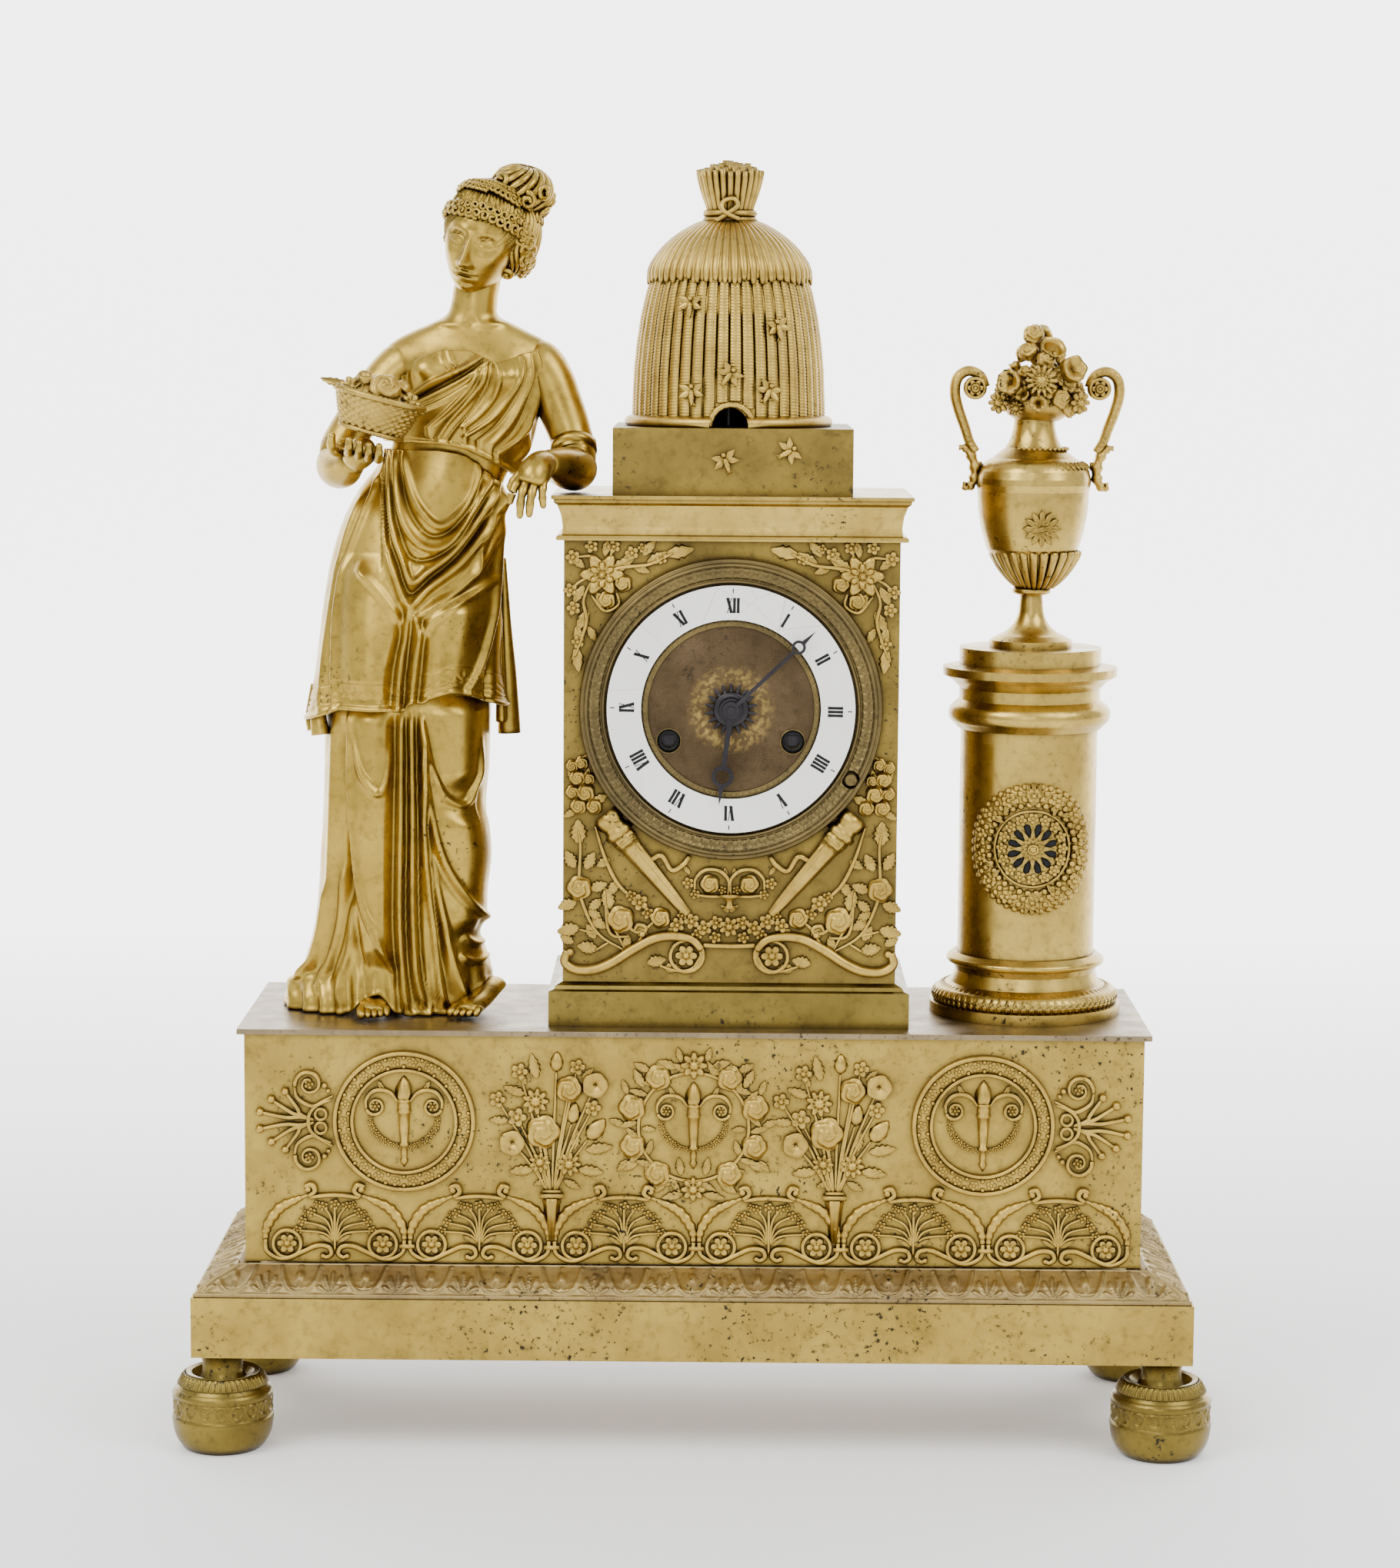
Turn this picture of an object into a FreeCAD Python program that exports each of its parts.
"""Gilt mantel clock: a draped figure, a beehive and an urn on a column, on one long plinth.

Millimetres. The clock stands on the plane z = 0, its front faces -Y, +X is to the viewer's right
and the origin is under the middle of the plinth. Every driving dimension is a cell of the sheet.
"""
import FreeCAD, Part
import math
import os
import Sketcher
from FreeCAD import Placement, Rotation, Vector
from types import SimpleNamespace

SIZES = {
    # fits
    "fit_gap": 0.2, "running_gap": 0.05, "overrun": 1.0,
    # feet
    "foot_height": 36.2, "foot_radius": 18.9, "foot_span": 351.0, "foot_spread": 107.2,
    "foot_boss_radius": 10.0, "stud_radius": 3.0, "stud_depth": 14.0,
    # base slab, leaf moulding, plinth and deck
    "slab_length": 372.0, "slab_width": 128.0, "slab_height": 22.7, "slab_wall": 5.0,
    "moulding_height": 10.2,
    "plinth_length": 334.8, "plinth_width": 95.5, "plinth_height": 86.7, "plinth_wall": 4.0,
    "deck_overhang": 2.5, "deck_thickness": 2.0,
    # case
    "case_x": 12.7, "case_y": 0.5, "case_length": 124.2, "case_width": 74.0, "case_wall": 4.0,
    "case_foot_overhang": 5.2, "case_foot_face_overhang": 3.5, "case_foot_height": 16.6,
    "cornice_overhang": 4.65, "cornice_height": 16.6,
    "door_opening_length": 104.0, "door_opening_height": 150.0, "door_opening_sill": 6.0,
    "door_opening_head": 9.0, "door_lap": 3.0, "door_thickness": 2.5,
    "knuckle_radius": 2.6, "knuckle_length": 16.0, "hinge_pin_radius": 1.1, "door_knob_radius": 4.0,
    # hive and its block
    "hive_block_length": 88.8, "hive_block_width": 76.0, "hive_block_height": 24.7,
    "hive_block_wall": 4.0, "hive_x": 11.0, "hive_y": 4.0, "hive_radius": 38.4,
    "hive_height": 55.3, "hive_wall": 3.5, "hive_door_width": 14.4, "hive_door_height": 7.8,
    "cap_radius": 29.8, "cap_height": 20.0, "straw_radius": 13.0, "straw_height": 24.5,
    "bee_length": 10.6,
    # column
    "column_gap": 51.7, "column_y": 3.0, "column_base_radius": 36.4, "column_base_height": 23.2,
    "shaft_radius": 26.0, "shaft_height": 86.0, "shaft_wall": 3.0,
    "capital_radius": 33.0, "capital_height": 30.8,
    "column_wreath_radius": 21.0, "column_wreath_depth": 3.0,
    # urn
    "urn_foot_radius": 15.6, "urn_foot_height": 23.2, "urn_radius": 21.7, "urn_height": 64.2,
    "urn_mouth_radius": 5.0, "urn_mouth_depth": 22.0, "handle_reach": 33.0, "handle_height": 49.5,
    "handle_radius": 1.9, "flowers_radius": 19.5, "flowers_height": 36.8,
    # bolts
    "bolt_radius": 3.0, "bolt_head_radius": 6.0, "bolt_head_height": 3.0,
    # figure
    "figure_breadth": 106.0, "figure_depth": 60.0, "figure_rise": 122.4, "fold_depth": 1.8,
    "arm_radius": 8.0, "basket_radius": 16.8, "basket_height": 20.0,
    # reliefs
    "relief_depth": 2.6,
    "medallion_x": 105.4, "medallion_radius": 26.7, "medallion_hole": 18.8,
    "palmette_x": 138.5, "palmette_length": 42.0, "palmette_height": 38.0,
    "bouquet_x": 52.5, "bouquet_length": 48.0, "bouquet_height": 76.0,
    "wreath_radius": 25.0, "wreath_tube": 5.0,
    "lunette_pitch": 54.0, "lunette_length": 50.0, "lunette_height": 27.0,
    "spray_length": 50.0, "spray_height": 48.0, "torch_length": 44.0, "torch_height": 54.0,
    "scroll_length": 52.0, "scroll_height": 34.0,
    # dial
    "dial_headroom": 5.905, "bezel_radius": 56.3, "bezel_hole": 46.8, "bezel_depth": 5.2,
    "movement_hole": 44.0, "dial_plate_thickness": 1.2, "chapter_radius": 46.0,
    "chapter_hole": 33.3, "chapter_thickness": 1.5, "hub_radius": 6.4, "hub_height": 1.2,
    "winding_hole_radius": 4.3, "winding_x": 23.0, "winding_drop": 12.0,
    "minute_length": 42.9, "minute_ring": 34.2, "minute_ring_radius": 2.6,
    "hour_length": 36.0, "hour_ring": 25.0, "hour_ring_radius": 4.1,
    "hand_thickness": 0.8, "hand_gap": 0.9, "minute_angle": 46.4, "hour_angle": 186.8,
    "dial_screw_radius": 1.2, "dial_screw_head": 2.1,
    # movement
    "plate_radius": 50.0, "back_plate_radius": 46.5, "plate_thickness": 2.0, "plate_gap": 22.0,
    "pillar_radius": 3.0, "pillar_circle": 42.0, "arbor_radius": 1.5, "pinion_arbor_radius": 1.1,
    "wheel_thickness": 1.2, "wheel_gap": 0.5, "barrel_radius": 16.0, "barrel_height": 13.0,
    "barrel_wall": 1.6, "winding_arbor_radius": 3.0, "winding_square": 3.4, "winding_square_length": 1.0,
    "centre_wheel_radius": 17.0, "motion_distance": 11.0, "cannon_radius": 2.0,
    "hour_pipe_radius": 2.9, "escape_radius": 9.0, "escape_rise": 27.0, "anchor_rise": 40.5,
    "crutch_length": 21.0, "pendulum_foot_gap": 4.295, "pendulum_rod_radius": 1.0,
    "bob_radius": 12.0, "bob_thickness": 6.0, "pendulum_gap": 8.5, "count_angle": 100.0,
    "count_radius": 15.0, "count_notch": 1.6, "bell_radius": 24.0, "bell_height": 15.0, "bell_wall": 1.4,
    "bell_x": -16.0, "bell_drop": 16.0, "hammer_x": 14.0, "hammer_drop": 41.0,
    "hammer_length": 22.3, "hammer_head_radius": 2.0,
}

doc = FreeCAD.newDocument("MantelClock")
sheet = doc.addObject("Spreadsheet::Sheet", "Sizes")
for row, (alias, number) in enumerate(SIZES.items(), start=1):
    sheet.set(f"A{row}", alias)
    sheet.set(f"B{row}", str(number))
    sheet.setAlias(f"B{row}", alias)
doc.recompute()


class Size:
    """A length, angle or share that knows its number and the words that bind it to the sheet."""

    def __init__(self, number, words):
        self.number = number
        self.words = words

    def __add__(self, other):
        other = as_size(other)
        return Size(self.number + other.number, f"({self.words} + {other.words})")

    def __sub__(self, other):
        other = as_size(other)
        return Size(self.number - other.number, f"({self.words} - {other.words})")

    def __mul__(self, other):
        other = as_size(other)
        return Size(self.number * other.number, f"({self.words} * {other.words})")

    def __truediv__(self, other):
        other = as_size(other)
        return Size(self.number / other.number, f"({self.words} / {other.words})")

    def __neg__(self):
        return Size(-self.number, f"(0 - {self.words})")

    def __rsub__(self, other):
        return as_size(other) - self

    __radd__ = __add__
    __rmul__ = __mul__


def as_size(value):
    """A Size as it is, and a plain number as a Size of that number."""
    return value if isinstance(value, Size) else Size(value, repr(value))


dim = SimpleNamespace(**{a: Size(float(sheet.get(a)), "Sizes." + a) for a in SIZES})

# The four ways a piece can face. A turned piece's axis is its own Z.
FACING = {
    "up": Rotation(),
    "down": Rotation(Vector(1, 0, 0), 180),
    "front": Rotation(Vector(1, 0, 0), 90),
    "back": Rotation(Vector(1, 0, 0), -90),
    "side": Rotation(Vector(0, 1, 0), Vector(0, 0, 1), Vector(1, 0, 0)),
}
subparts = {}


def bind(thing, name, value):
    """Sets one property from a size, and ties it to the sheet."""
    value = as_size(value)
    thing.setExpression(name, value.words)


def place(thing, at, facing="up"):
    """Puts a piece's own origin at a point, turned to face one of the four ways."""
    at = [as_size(value) for value in at]
    thing.Placement = Placement(Vector(*[value.number for value in at]), FACING[facing])
    for axis, value in zip("xyz", at):
        bind(thing, "Placement.Base." + axis, value)
    return thing


def keep(name, thing):
    """Notes a finished sub-part, whose label is its name."""
    thing.Label = name
    subparts[name] = thing
    return thing


def block(name, corner, length, width, height):
    """A box from its lowest corner."""
    box = doc.addObject("Part::Box", name)
    for side, value in (("Length", length), ("Width", width), ("Height", height)):
        bind(box, side, value)
    return place(box, corner)


def middle_block(name, centre, length, width, height):
    """A box that stands on the centre of its underside."""
    x, y, z = centre
    return block(name, (x - length / 2, y - width / 2, z), length, width, height)


def rod(name, at, radius, length, facing="up"):
    """A cylinder from the centre of one end."""
    cylinder = doc.addObject("Part::Cylinder", name)
    bind(cylinder, "Radius", radius)
    bind(cylinder, "Height", length)
    return place(cylinder, at, facing)


def fused(name, *things):
    """One solid from several that touch or overlap."""
    union = doc.addObject("Part::MultiFuse", name)
    union.Shapes = list(things)
    return union


def drilled(name, blank, *tools):
    """The blank with the tools taken away."""
    cut = doc.addObject("Part::Cut", name)
    cut.Base = blank
    cut.Tool = tools[0] if len(tools) == 1 else fused(name + "_tools", *tools)
    return cut


def shaped(name, shape, at=(0, 0, 0), facing="up"):
    """A free shape under its own name, with its place given afterwards."""
    feature = doc.addObject("Part::Feature", name)
    feature.Shape = shape
    return place(feature, at, facing)


def pair_of_numbers(point):
    """A point of an outline as two plain numbers."""
    return Vector(point[0].number, point[1].number, 0)


def draw_outline(sketch, points):
    """Draws a closed outline. A point is (x, y) or (x, y, bulge), whose side to the next point
    is then an arc: bulge is its height over half its chord, to the right of the way it runs."""
    corners = [(as_size(p[0]), as_size(p[1])) for p in points]
    bulges = [p[2] if len(p) > 2 else 0 for p in points]
    ends = []
    for here, there, bulge in zip(corners, corners[1:] + corners[:1], bulges):
        start, stop = pair_of_numbers(here), pair_of_numbers(there)
        if bulge == 0:
            ends.append((sketch.addGeometry(Part.LineSegment(start, stop)), 1, 2))
            continue
        half = (stop - start) * 0.5
        middle = start + half + Vector(half.y, -half.x, 0) * bulge
        run = (start, middle, stop) if bulge > 0 else (stop, middle, start)
        arc = sketch.addGeometry(Part.Arc(*run))
        ends.append((arc, 1, 2) if bulge > 0 else (arc, 2, 1))
        across, along = there[0] - here[0], there[1] - here[1]
        chord = f"sqrt({across.words}^2 + {along.words}^2)"
        size = sketch.Geometry[arc].Radius
        number = sketch.addConstraint(Sketcher.Constraint("Radius", arc, size))
        share = (1 + bulge * bulge) / (4 * abs(bulge))
        sketch.setExpression(f"Constraints[{number}]", f"{chord} * {share}")
    for (line, _, stop), (following, start, _) in zip(ends, ends[1:] + ends[:1]):
        sketch.addConstraint(Sketcher.Constraint("Coincident", line, stop, following, start))
    for (line, start, _), corner in zip(ends, corners):
        pin_corner(sketch, line, start, corner)


def pin_corner(sketch, line, end, corner):
    """Ties one corner of an outline to the sketch's axes."""
    for kind, value, axis in (("DistanceX", corner[0], -2), ("DistanceY", corner[1], -1)):
        if value.number == 0:
            sketch.addConstraint(Sketcher.Constraint("PointOnObject", line, end, axis))
            continue
        tie = Sketcher.Constraint(kind, -1, 1, line, end, value.number)
        number = sketch.addConstraint(tie)
        sketch.setExpression(f"Constraints[{number}]", value.words)


def body_sketch(body, role, name, points):
    """An outline on one of a body's own planes."""
    sketch = body.newObject("Sketcher::SketchObject", name)
    plane = [o for o in body.Origin.OriginFeatures if o.Role == role][0]
    sketch.AttachmentSupport = (plane, [""])
    sketch.MapMode = "FlatFace"
    draw_outline(sketch, points)
    return sketch


def turned(name, shares, radius, height, at, facing="up"):
    """A piece made on a lathe. Each share is (of the radius, of the height), and a bulge."""
    body = doc.addObject("PartDesign::Body", name)
    points = [(p[0] * radius, p[1] * height) + tuple(p[2:]) for p in shares]
    sketch = body_sketch(body, "XZ_Plane", name + "_outline", points)
    turning = body.newObject("PartDesign::Revolution", name + "_turning")
    turning.Profile = sketch
    turning.ReferenceAxis = (sketch, ["V_Axis"])
    turning.Angle = 360
    return place(body, at, facing)


def plank(name, facing, points, at, length):
    """An outline pushed both ways from its own plane."""
    sketch = doc.addObject("Sketcher::SketchObject", name + "_outline")
    draw_outline(sketch, points)
    place(sketch, at, facing)
    push = doc.addObject("Part::Extrusion", name)
    push.Base = sketch
    push.DirMode = "Normal"
    push.Symmetric = True
    push.Solid = True
    bind(push, "LengthFwd", length)
    return push


def moulded(name, shares, centre, length, width, overhang_x, overhang_y, height):
    """A rectangular moulding with mitred corners: what two crossed planks share. Each share is
    (of the overhang, of the height), from the foot up, outside a block of length by width."""
    planks = []
    sides = (("long", "front", length, overhang_x, width + overhang_y * 4),
             ("cross", "side", width, overhang_y, length + overhang_x * 4))
    for word, facing, size, overhang, run in sides:
        right = [(size / 2 + s[0] * overhang, s[1] * height) for s in shares]
        left = [(-x, z) for x, z in reversed(right)]
        planks.append(plank(f"{name}_{word}", facing, right + left, centre, run))
    common = doc.addObject("Part::Common", name)
    common.Base, common.Tool = planks
    return common


# Heights and places that several pieces share
slab_z = dim.foot_height
moulding_z = slab_z + dim.slab_height
plinth_z = moulding_z + dim.moulding_height
deck_z = plinth_z + dim.plinth_height
floor_z = deck_z + dim.deck_thickness
case_z = floor_z + dim.case_foot_height
case_height = dim.door_opening_sill + dim.door_opening_height + dim.door_opening_head
cornice_z = case_z + case_height
case_top = cornice_z + dim.cornice_height
hive_z = case_top + dim.hive_block_height
cap_z = hive_z + dim.hive_height
straw_z = cap_z + dim.cap_height
shaft_z = floor_z + dim.column_base_height
capital_z = shaft_z + dim.shaft_height
urn_z = capital_z + dim.capital_height
urn_body_z = urn_z + dim.urn_foot_height
case_left = dim.case_x - dim.case_length / 2
case_front = dim.case_y - dim.case_width / 2
case_back = dim.case_y + dim.case_width / 2
column_x = dim.case_x + dim.case_length / 2 + dim.column_gap
dial_z = cornice_z - dim.dial_headroom - dim.bezel_radius
plinth_front = -dim.plinth_width / 2
bolt_hole = dim.bolt_radius + dim.fit_gap
stud_hole = dim.stud_radius + dim.fit_gap

# Feet: a bun with two carved rings under an open cup, and a neck that meets the slab
FOOT_SHARES = ((0, 0), (0.75, 0, 0.2), (0.985, 0.24), (1, 0.3, 0.2), (0.975, 0.37), (0.95, 0.44),
               (0.97, 0.53), (1, 0.59, 0.2), (0.93, 0.64), (0.868, 0.68, -0.2), (0.725, 0.8),
               (0.62, 0.79), (0.48, 0.72, -0.3), (0.476, 1), (0, 1))
feet = []
foot_holes = []
slab_bosses = []
boss_holes = []
studs = []
for side, way in (("left", -1), ("right", 1)):
    for end, depth in (("front", -1), ("back", 1)):
        spot = (dim.foot_span / 2 * way, dim.foot_spread / 2 * depth)
        tag = f"{side}_{end}"
        stud_z = slab_z - dim.stud_depth
        feet.append(turned(f"foot_{tag}", FOOT_SHARES, dim.foot_radius, dim.foot_height, spot + (0,)))
        foot_holes.append(rod(f"foot_hole_{tag}", spot + (stud_z,), stud_hole,
                              dim.stud_depth + dim.overrun))
        slab_bosses.append(rod(f"boss_{tag}", spot + (slab_z,), dim.foot_boss_radius,
                               dim.slab_height - dim.slab_wall / 2))
        boss_holes.append(rod(f"boss_hole_{tag}", spot + (slab_z - dim.overrun,), stud_hole,
                              dim.stud_depth + dim.overrun))
        studs.append(rod(f"stud_{tag}", spot + (stud_z,), dim.stud_radius, dim.stud_depth * 2))
keep("feet", drilled("feet", fused("feet_blank", *feet), *foot_holes))
keep("foot_studs", fused("foot_studs", *studs))

# Base slab: a hollow casting, open below, with a boss over each foot
slab_blank = middle_block("slab_blank", (0, 0, slab_z), dim.slab_length, dim.slab_width,
                          dim.slab_height)
slab_inside = middle_block("slab_inside", (0, 0, slab_z - dim.overrun),
                           dim.slab_length - dim.slab_wall * 2, dim.slab_width - dim.slab_wall * 2,
                           dim.slab_height - dim.slab_wall + dim.overrun)
slab_shell = drilled("slab_shell", slab_blank, slab_inside)
keep("base_slab", drilled("base_slab", fused("slab_with_bosses", slab_shell, *slab_bosses),
                          *boss_holes))

# Leaf moulding: a fillet and an ogee that step in from the slab to the plinth
OGEE_SHARES = ((0.95, 0), (0.95, 0.14), (0.88, 0.2), (0.82, 0.42), (0.66, 0.56), (0.42, 0.66),
               (0.24, 0.8), (0.14, 0.95), (0.14, 1))
plinth_inside_length = dim.plinth_length - dim.plinth_wall * 2
plinth_inside_width = dim.plinth_width - dim.plinth_wall * 2
ogee_solid = moulded("ogee_solid", OGEE_SHARES, (0, 0, moulding_z), dim.plinth_length,
                     dim.plinth_width, (dim.slab_length - dim.plinth_length) / 2,
                     (dim.slab_width - dim.plinth_width) / 2, dim.moulding_height)
ogee_inside = middle_block("ogee_inside", (0, 0, moulding_z - dim.overrun), plinth_inside_length,
                           plinth_inside_width, dim.moulding_height + dim.overrun * 2)
keep("leaf_moulding", drilled("leaf_moulding", ogee_solid, ogee_inside))

# Plinth box and its deck
plinth_blank = middle_block("plinth_blank", (0, 0, plinth_z), dim.plinth_length, dim.plinth_width,
                            dim.plinth_height)
plinth_inside = middle_block("plinth_inside", (0, 0, plinth_z - dim.overrun), plinth_inside_length,
                             plinth_inside_width, dim.plinth_height + dim.overrun * 2)
keep("plinth_box", drilled("plinth_box", plinth_blank, plinth_inside))


# The figure's own places: a height is a share of the case's top over the deck, or, past 1, of
# the figure's rise over the case; a place to the left is a share of its breadth from the case
def figure_height(share):
    """A height on the figure, in two stretches that meet at the case's top."""
    if share <= 1:
        return floor_z + (case_top - floor_z) * share
    return case_top + dim.figure_rise * (share - 1)


def figure_point(height_share, left_share, back_share):
    """A point on the figure as plain numbers."""
    x = case_left - dim.figure_breadth * left_share
    y = dim.figure_depth * back_share
    return Vector(x.number, y.number, figure_height(height_share).number)


FIGURE_BOLT_SHARES = (0.63, 0.03)
figure_bolt = (case_left - dim.figure_breadth * FIGURE_BOLT_SHARES[0],
               dim.figure_depth * FIGURE_BOLT_SHARES[1])
case_bolt_reach = dim.case_length * 0.36
case_bolts = {"left": (dim.case_x - case_bolt_reach, dim.case_y),
              "right": (dim.case_x + case_bolt_reach, dim.case_y)}
column_spot = (column_x, dim.column_y)
hive_spot = (dim.hive_x, dim.hive_y)
bolt_length = dim.deck_thickness + dim.case_foot_height

deck_blank = middle_block("deck_blank", (0, 0, deck_z), dim.plinth_length + dim.deck_overhang * 2,
                          dim.plinth_width + dim.deck_overhang * 2, dim.deck_thickness)
deck_spots = {"figure": figure_bolt, "column": column_spot, **case_bolts}
deck_holes = [rod(f"deck_hole_{word}", spot + (deck_z - dim.overrun,), bolt_hole,
                  dim.deck_thickness + dim.overrun * 2) for word, spot in deck_spots.items()]
keep("plinth_top_plate", drilled("plinth_top_plate", deck_blank, *deck_holes))

# Case plinth: a hollow block, open below, whose top is the floor of the case
CASE_FOOT_SHARES = ((1, 0), (1, 0.8), (0.62, 0.84), (0.5, 0.92), (0.2, 0.97), (0, 1))
case_foot_solid = moulded("case_foot_solid", CASE_FOOT_SHARES, (dim.case_x, dim.case_y, floor_z),
                          dim.case_length, dim.case_width, dim.case_foot_overhang,
                          dim.case_foot_face_overhang, dim.case_foot_height)
case_inside_length = dim.case_length - dim.case_wall * 2
case_inside_width = dim.case_width - dim.case_wall * 2
case_foot_inside = middle_block("case_foot_inside", (dim.case_x, dim.case_y, floor_z - dim.overrun),
                                case_inside_length, case_inside_width,
                                dim.case_foot_height - dim.case_wall + dim.overrun)
case_foot_holes = [rod(f"case_foot_hole_{word}", spot + (floor_z,), bolt_hole,
                       dim.case_foot_height + dim.overrun) for word, spot in case_bolts.items()]
keep("case_plinth", drilled("case_plinth", case_foot_solid, case_foot_inside, *case_foot_holes))

# Case: four walls, a round hole for the movement in front and a doorway behind
case_blank = middle_block("case_blank", (dim.case_x, dim.case_y, case_z), dim.case_length,
                          dim.case_width, case_height)
case_inside = middle_block("case_inside", (dim.case_x, dim.case_y, case_z - dim.overrun),
                           case_inside_length, case_inside_width,
                           case_height + dim.overrun * 2)
case_mouth = rod("case_mouth", (dim.case_x, case_front - dim.overrun, dial_z), dim.movement_hole,
                 dim.case_wall + dim.overrun * 2, "back")
doorway_z = case_z + dim.door_opening_sill
doorway = block("doorway", (dim.case_x - dim.door_opening_length / 2,
                            case_back - dim.case_wall - dim.overrun, doorway_z),
                dim.door_opening_length, dim.case_wall + dim.overrun * 2, dim.door_opening_height)

# Places of the arbors in the movement, from the centre of the dial, to the right and up
going_spot = (dim.winding_x, -dim.winding_drop)
strike_spot = (-dim.winding_x, -dim.winding_drop)
train_distance = Size(math.hypot(dim.winding_x.number, dim.winding_drop.number),
                      "sqrt(Sizes.winding_x^2 + Sizes.winding_drop^2)")
count_turn = math.radians(dim.count_angle.number)
count_spot = (strike_spot[0] + train_distance * math.cos(count_turn),
              strike_spot[1] + train_distance * math.sin(count_turn))
motion_spot = (Size(0, "0"), -dim.motion_distance)
escape_spot = (Size(0, "0"), dim.escape_rise)
anchor_spot = (Size(0, "0"), dim.anchor_rise)
bell_spot = (dim.bell_x, -dim.bell_drop)
hammer_spot = (dim.hammer_x, -dim.hammer_drop)
movement_y = case_front + dim.case_wall
front_plate_back = movement_y + dim.plate_thickness
back_plate_front = front_plate_back + dim.plate_gap
back_plate_back = back_plate_front + dim.plate_thickness


def on_dial(spot, y):
    """A point of the movement: right and up from the centre of the dial, at a depth."""
    return (dim.case_x + spot[0], y, dial_z + spot[1])


def round_spot(radius, degrees):
    """A place round the centre of the dial, clockwise from twelve."""
    turn = math.radians(degrees)
    return (radius * math.sin(turn), radius * math.cos(turn))


BEZEL_SCREW_TURN = 120
bezel_screw_spot = round_spot((dim.bezel_radius + dim.bezel_hole) / 2, BEZEL_SCREW_TURN)
MOVEMENT_SCREW_TURNS = (40, 140, 220, 320)
movement_screw_circle = (dim.plate_radius + dim.movement_hole) / 2
screw_spots = {f"movement_{turn}": round_spot(movement_screw_circle, turn)
               for turn in MOVEMENT_SCREW_TURNS}
screw_hole = dim.dial_screw_radius + dim.running_gap
screw_bite = dim.case_wall * 0.7
screw_holes = [rod(f"wall_{word}", on_dial(spot, movement_y - screw_bite), screw_hole,
                   screw_bite + dim.overrun, "back") for word, spot in screw_spots.items()]
screw_holes.append(rod("wall_bezel", on_dial(bezel_screw_spot, case_front - dim.overrun),
                       screw_hole, screw_bite + dim.overrun, "back"))

# Rear door hinge: two knuckles on the case, one on the door, and a pin through all three
door_length = dim.door_opening_length + dim.door_lap * 2
door_height = dim.door_opening_height + dim.door_lap * 2
door_z = doorway_z - dim.door_lap
hinge_x = dim.case_x + door_length / 2 + dim.knuckle_radius
hinge_y = case_back + dim.knuckle_radius
hinge_middle = door_z + door_height / 2 - dim.knuckle_length / 2
knuckle_bore = dim.hinge_pin_radius + dim.running_gap
knuckle_step = dim.knuckle_length + dim.fit_gap
case_knuckles = []
for word, step in (("low", -1), ("high", 1)):
    at = (hinge_x, hinge_y, hinge_middle + knuckle_step * step)
    case_knuckles.append(rod(f"case_knuckle_{word}", at, dim.knuckle_radius, dim.knuckle_length))
    leaf = block(f"case_leaf_{word}", (hinge_x, case_back - dim.overrun, at[2]),
                 dim.knuckle_radius, dim.knuckle_radius + dim.overrun, dim.knuckle_length)
    case_knuckles.append(leaf)
case_solid = fused("case_solid", drilled("case_shell", case_blank, case_inside), *case_knuckles)
pin_way = rod("pin_way", (hinge_x, hinge_y, hinge_middle - knuckle_step - dim.overrun),
              knuckle_bore, knuckle_step * 2 + dim.knuckle_length + dim.overrun * 2)
keep("case_body", drilled("case_body", case_solid, case_mouth, doorway, pin_way, *screw_holes))
keep("door_hinge_pin", rod("door_hinge_pin", (hinge_x, hinge_y, hinge_middle - knuckle_step),
                           dim.hinge_pin_radius, knuckle_step * 2 + dim.knuckle_length))
door_leaf = block("door_leaf", (dim.case_x - door_length / 2, case_back + dim.running_gap, door_z),
                  door_length + dim.knuckle_radius, dim.door_thickness, door_height)
leaf_room = dim.knuckle_radius + dim.fit_gap
door_rooms = []
for word, step in (("low", -1), ("high", 1)):
    z = hinge_middle + knuckle_step * step - dim.fit_gap
    door_rooms.append(block(f"door_room_{word}", (hinge_x - leaf_room, case_back - dim.overrun, z),
                            leaf_room * 2, dim.door_thickness + dim.overrun * 3,
                            dim.knuckle_length + dim.fit_gap * 2))
door_knuckle = rod("door_knuckle", (hinge_x, hinge_y, hinge_middle), dim.knuckle_radius,
                   dim.knuckle_length)
KNOB_SHARES = ((0, 0), (0.5, 0), (0.45, 0.4), (1, 0.6, 0.4), (0.9, 1), (0, 1))
door_knob = turned("door_knob", KNOB_SHARES, dim.door_knob_radius, dim.door_knob_radius * 2,
                   (dim.case_x - dim.door_opening_length * 0.42, case_back + dim.door_thickness,
                    door_z + door_height / 2), "back")
door_solid = fused("door_solid", door_leaf, door_knuckle, door_knob)
keep("rear_door", drilled("rear_door", door_solid, *door_rooms, pin_way))

# Cornice: a bead, a hollow and a flat lid, with a recess below
CORNICE_SHARES = ((0.56, 0), (0.64, 0.04), (0.56, 0.1), (0.15, 0.13), (0.1, 0.3), (0.22, 0.55),
                  (0.52, 0.78), (0.8, 0.84), (0.8, 0.9), (1, 0.92), (1, 1))
cornice_solid = moulded("cornice_solid", CORNICE_SHARES, (dim.case_x, dim.case_y, cornice_z),
                        dim.case_length, dim.case_width, dim.cornice_overhang,
                        dim.cornice_overhang, dim.cornice_height)
cornice_inside = middle_block("cornice_inside", (dim.case_x, dim.case_y, cornice_z - dim.overrun),
                              case_inside_length, case_inside_width,
                              dim.cornice_height - dim.case_wall + dim.overrun)
cornice_hole = rod("cornice_hole", hive_spot + (cornice_z,), bolt_hole,
                   dim.cornice_height + dim.overrun)
keep("case_cornice", drilled("case_cornice", cornice_solid, cornice_inside, cornice_hole))

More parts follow.
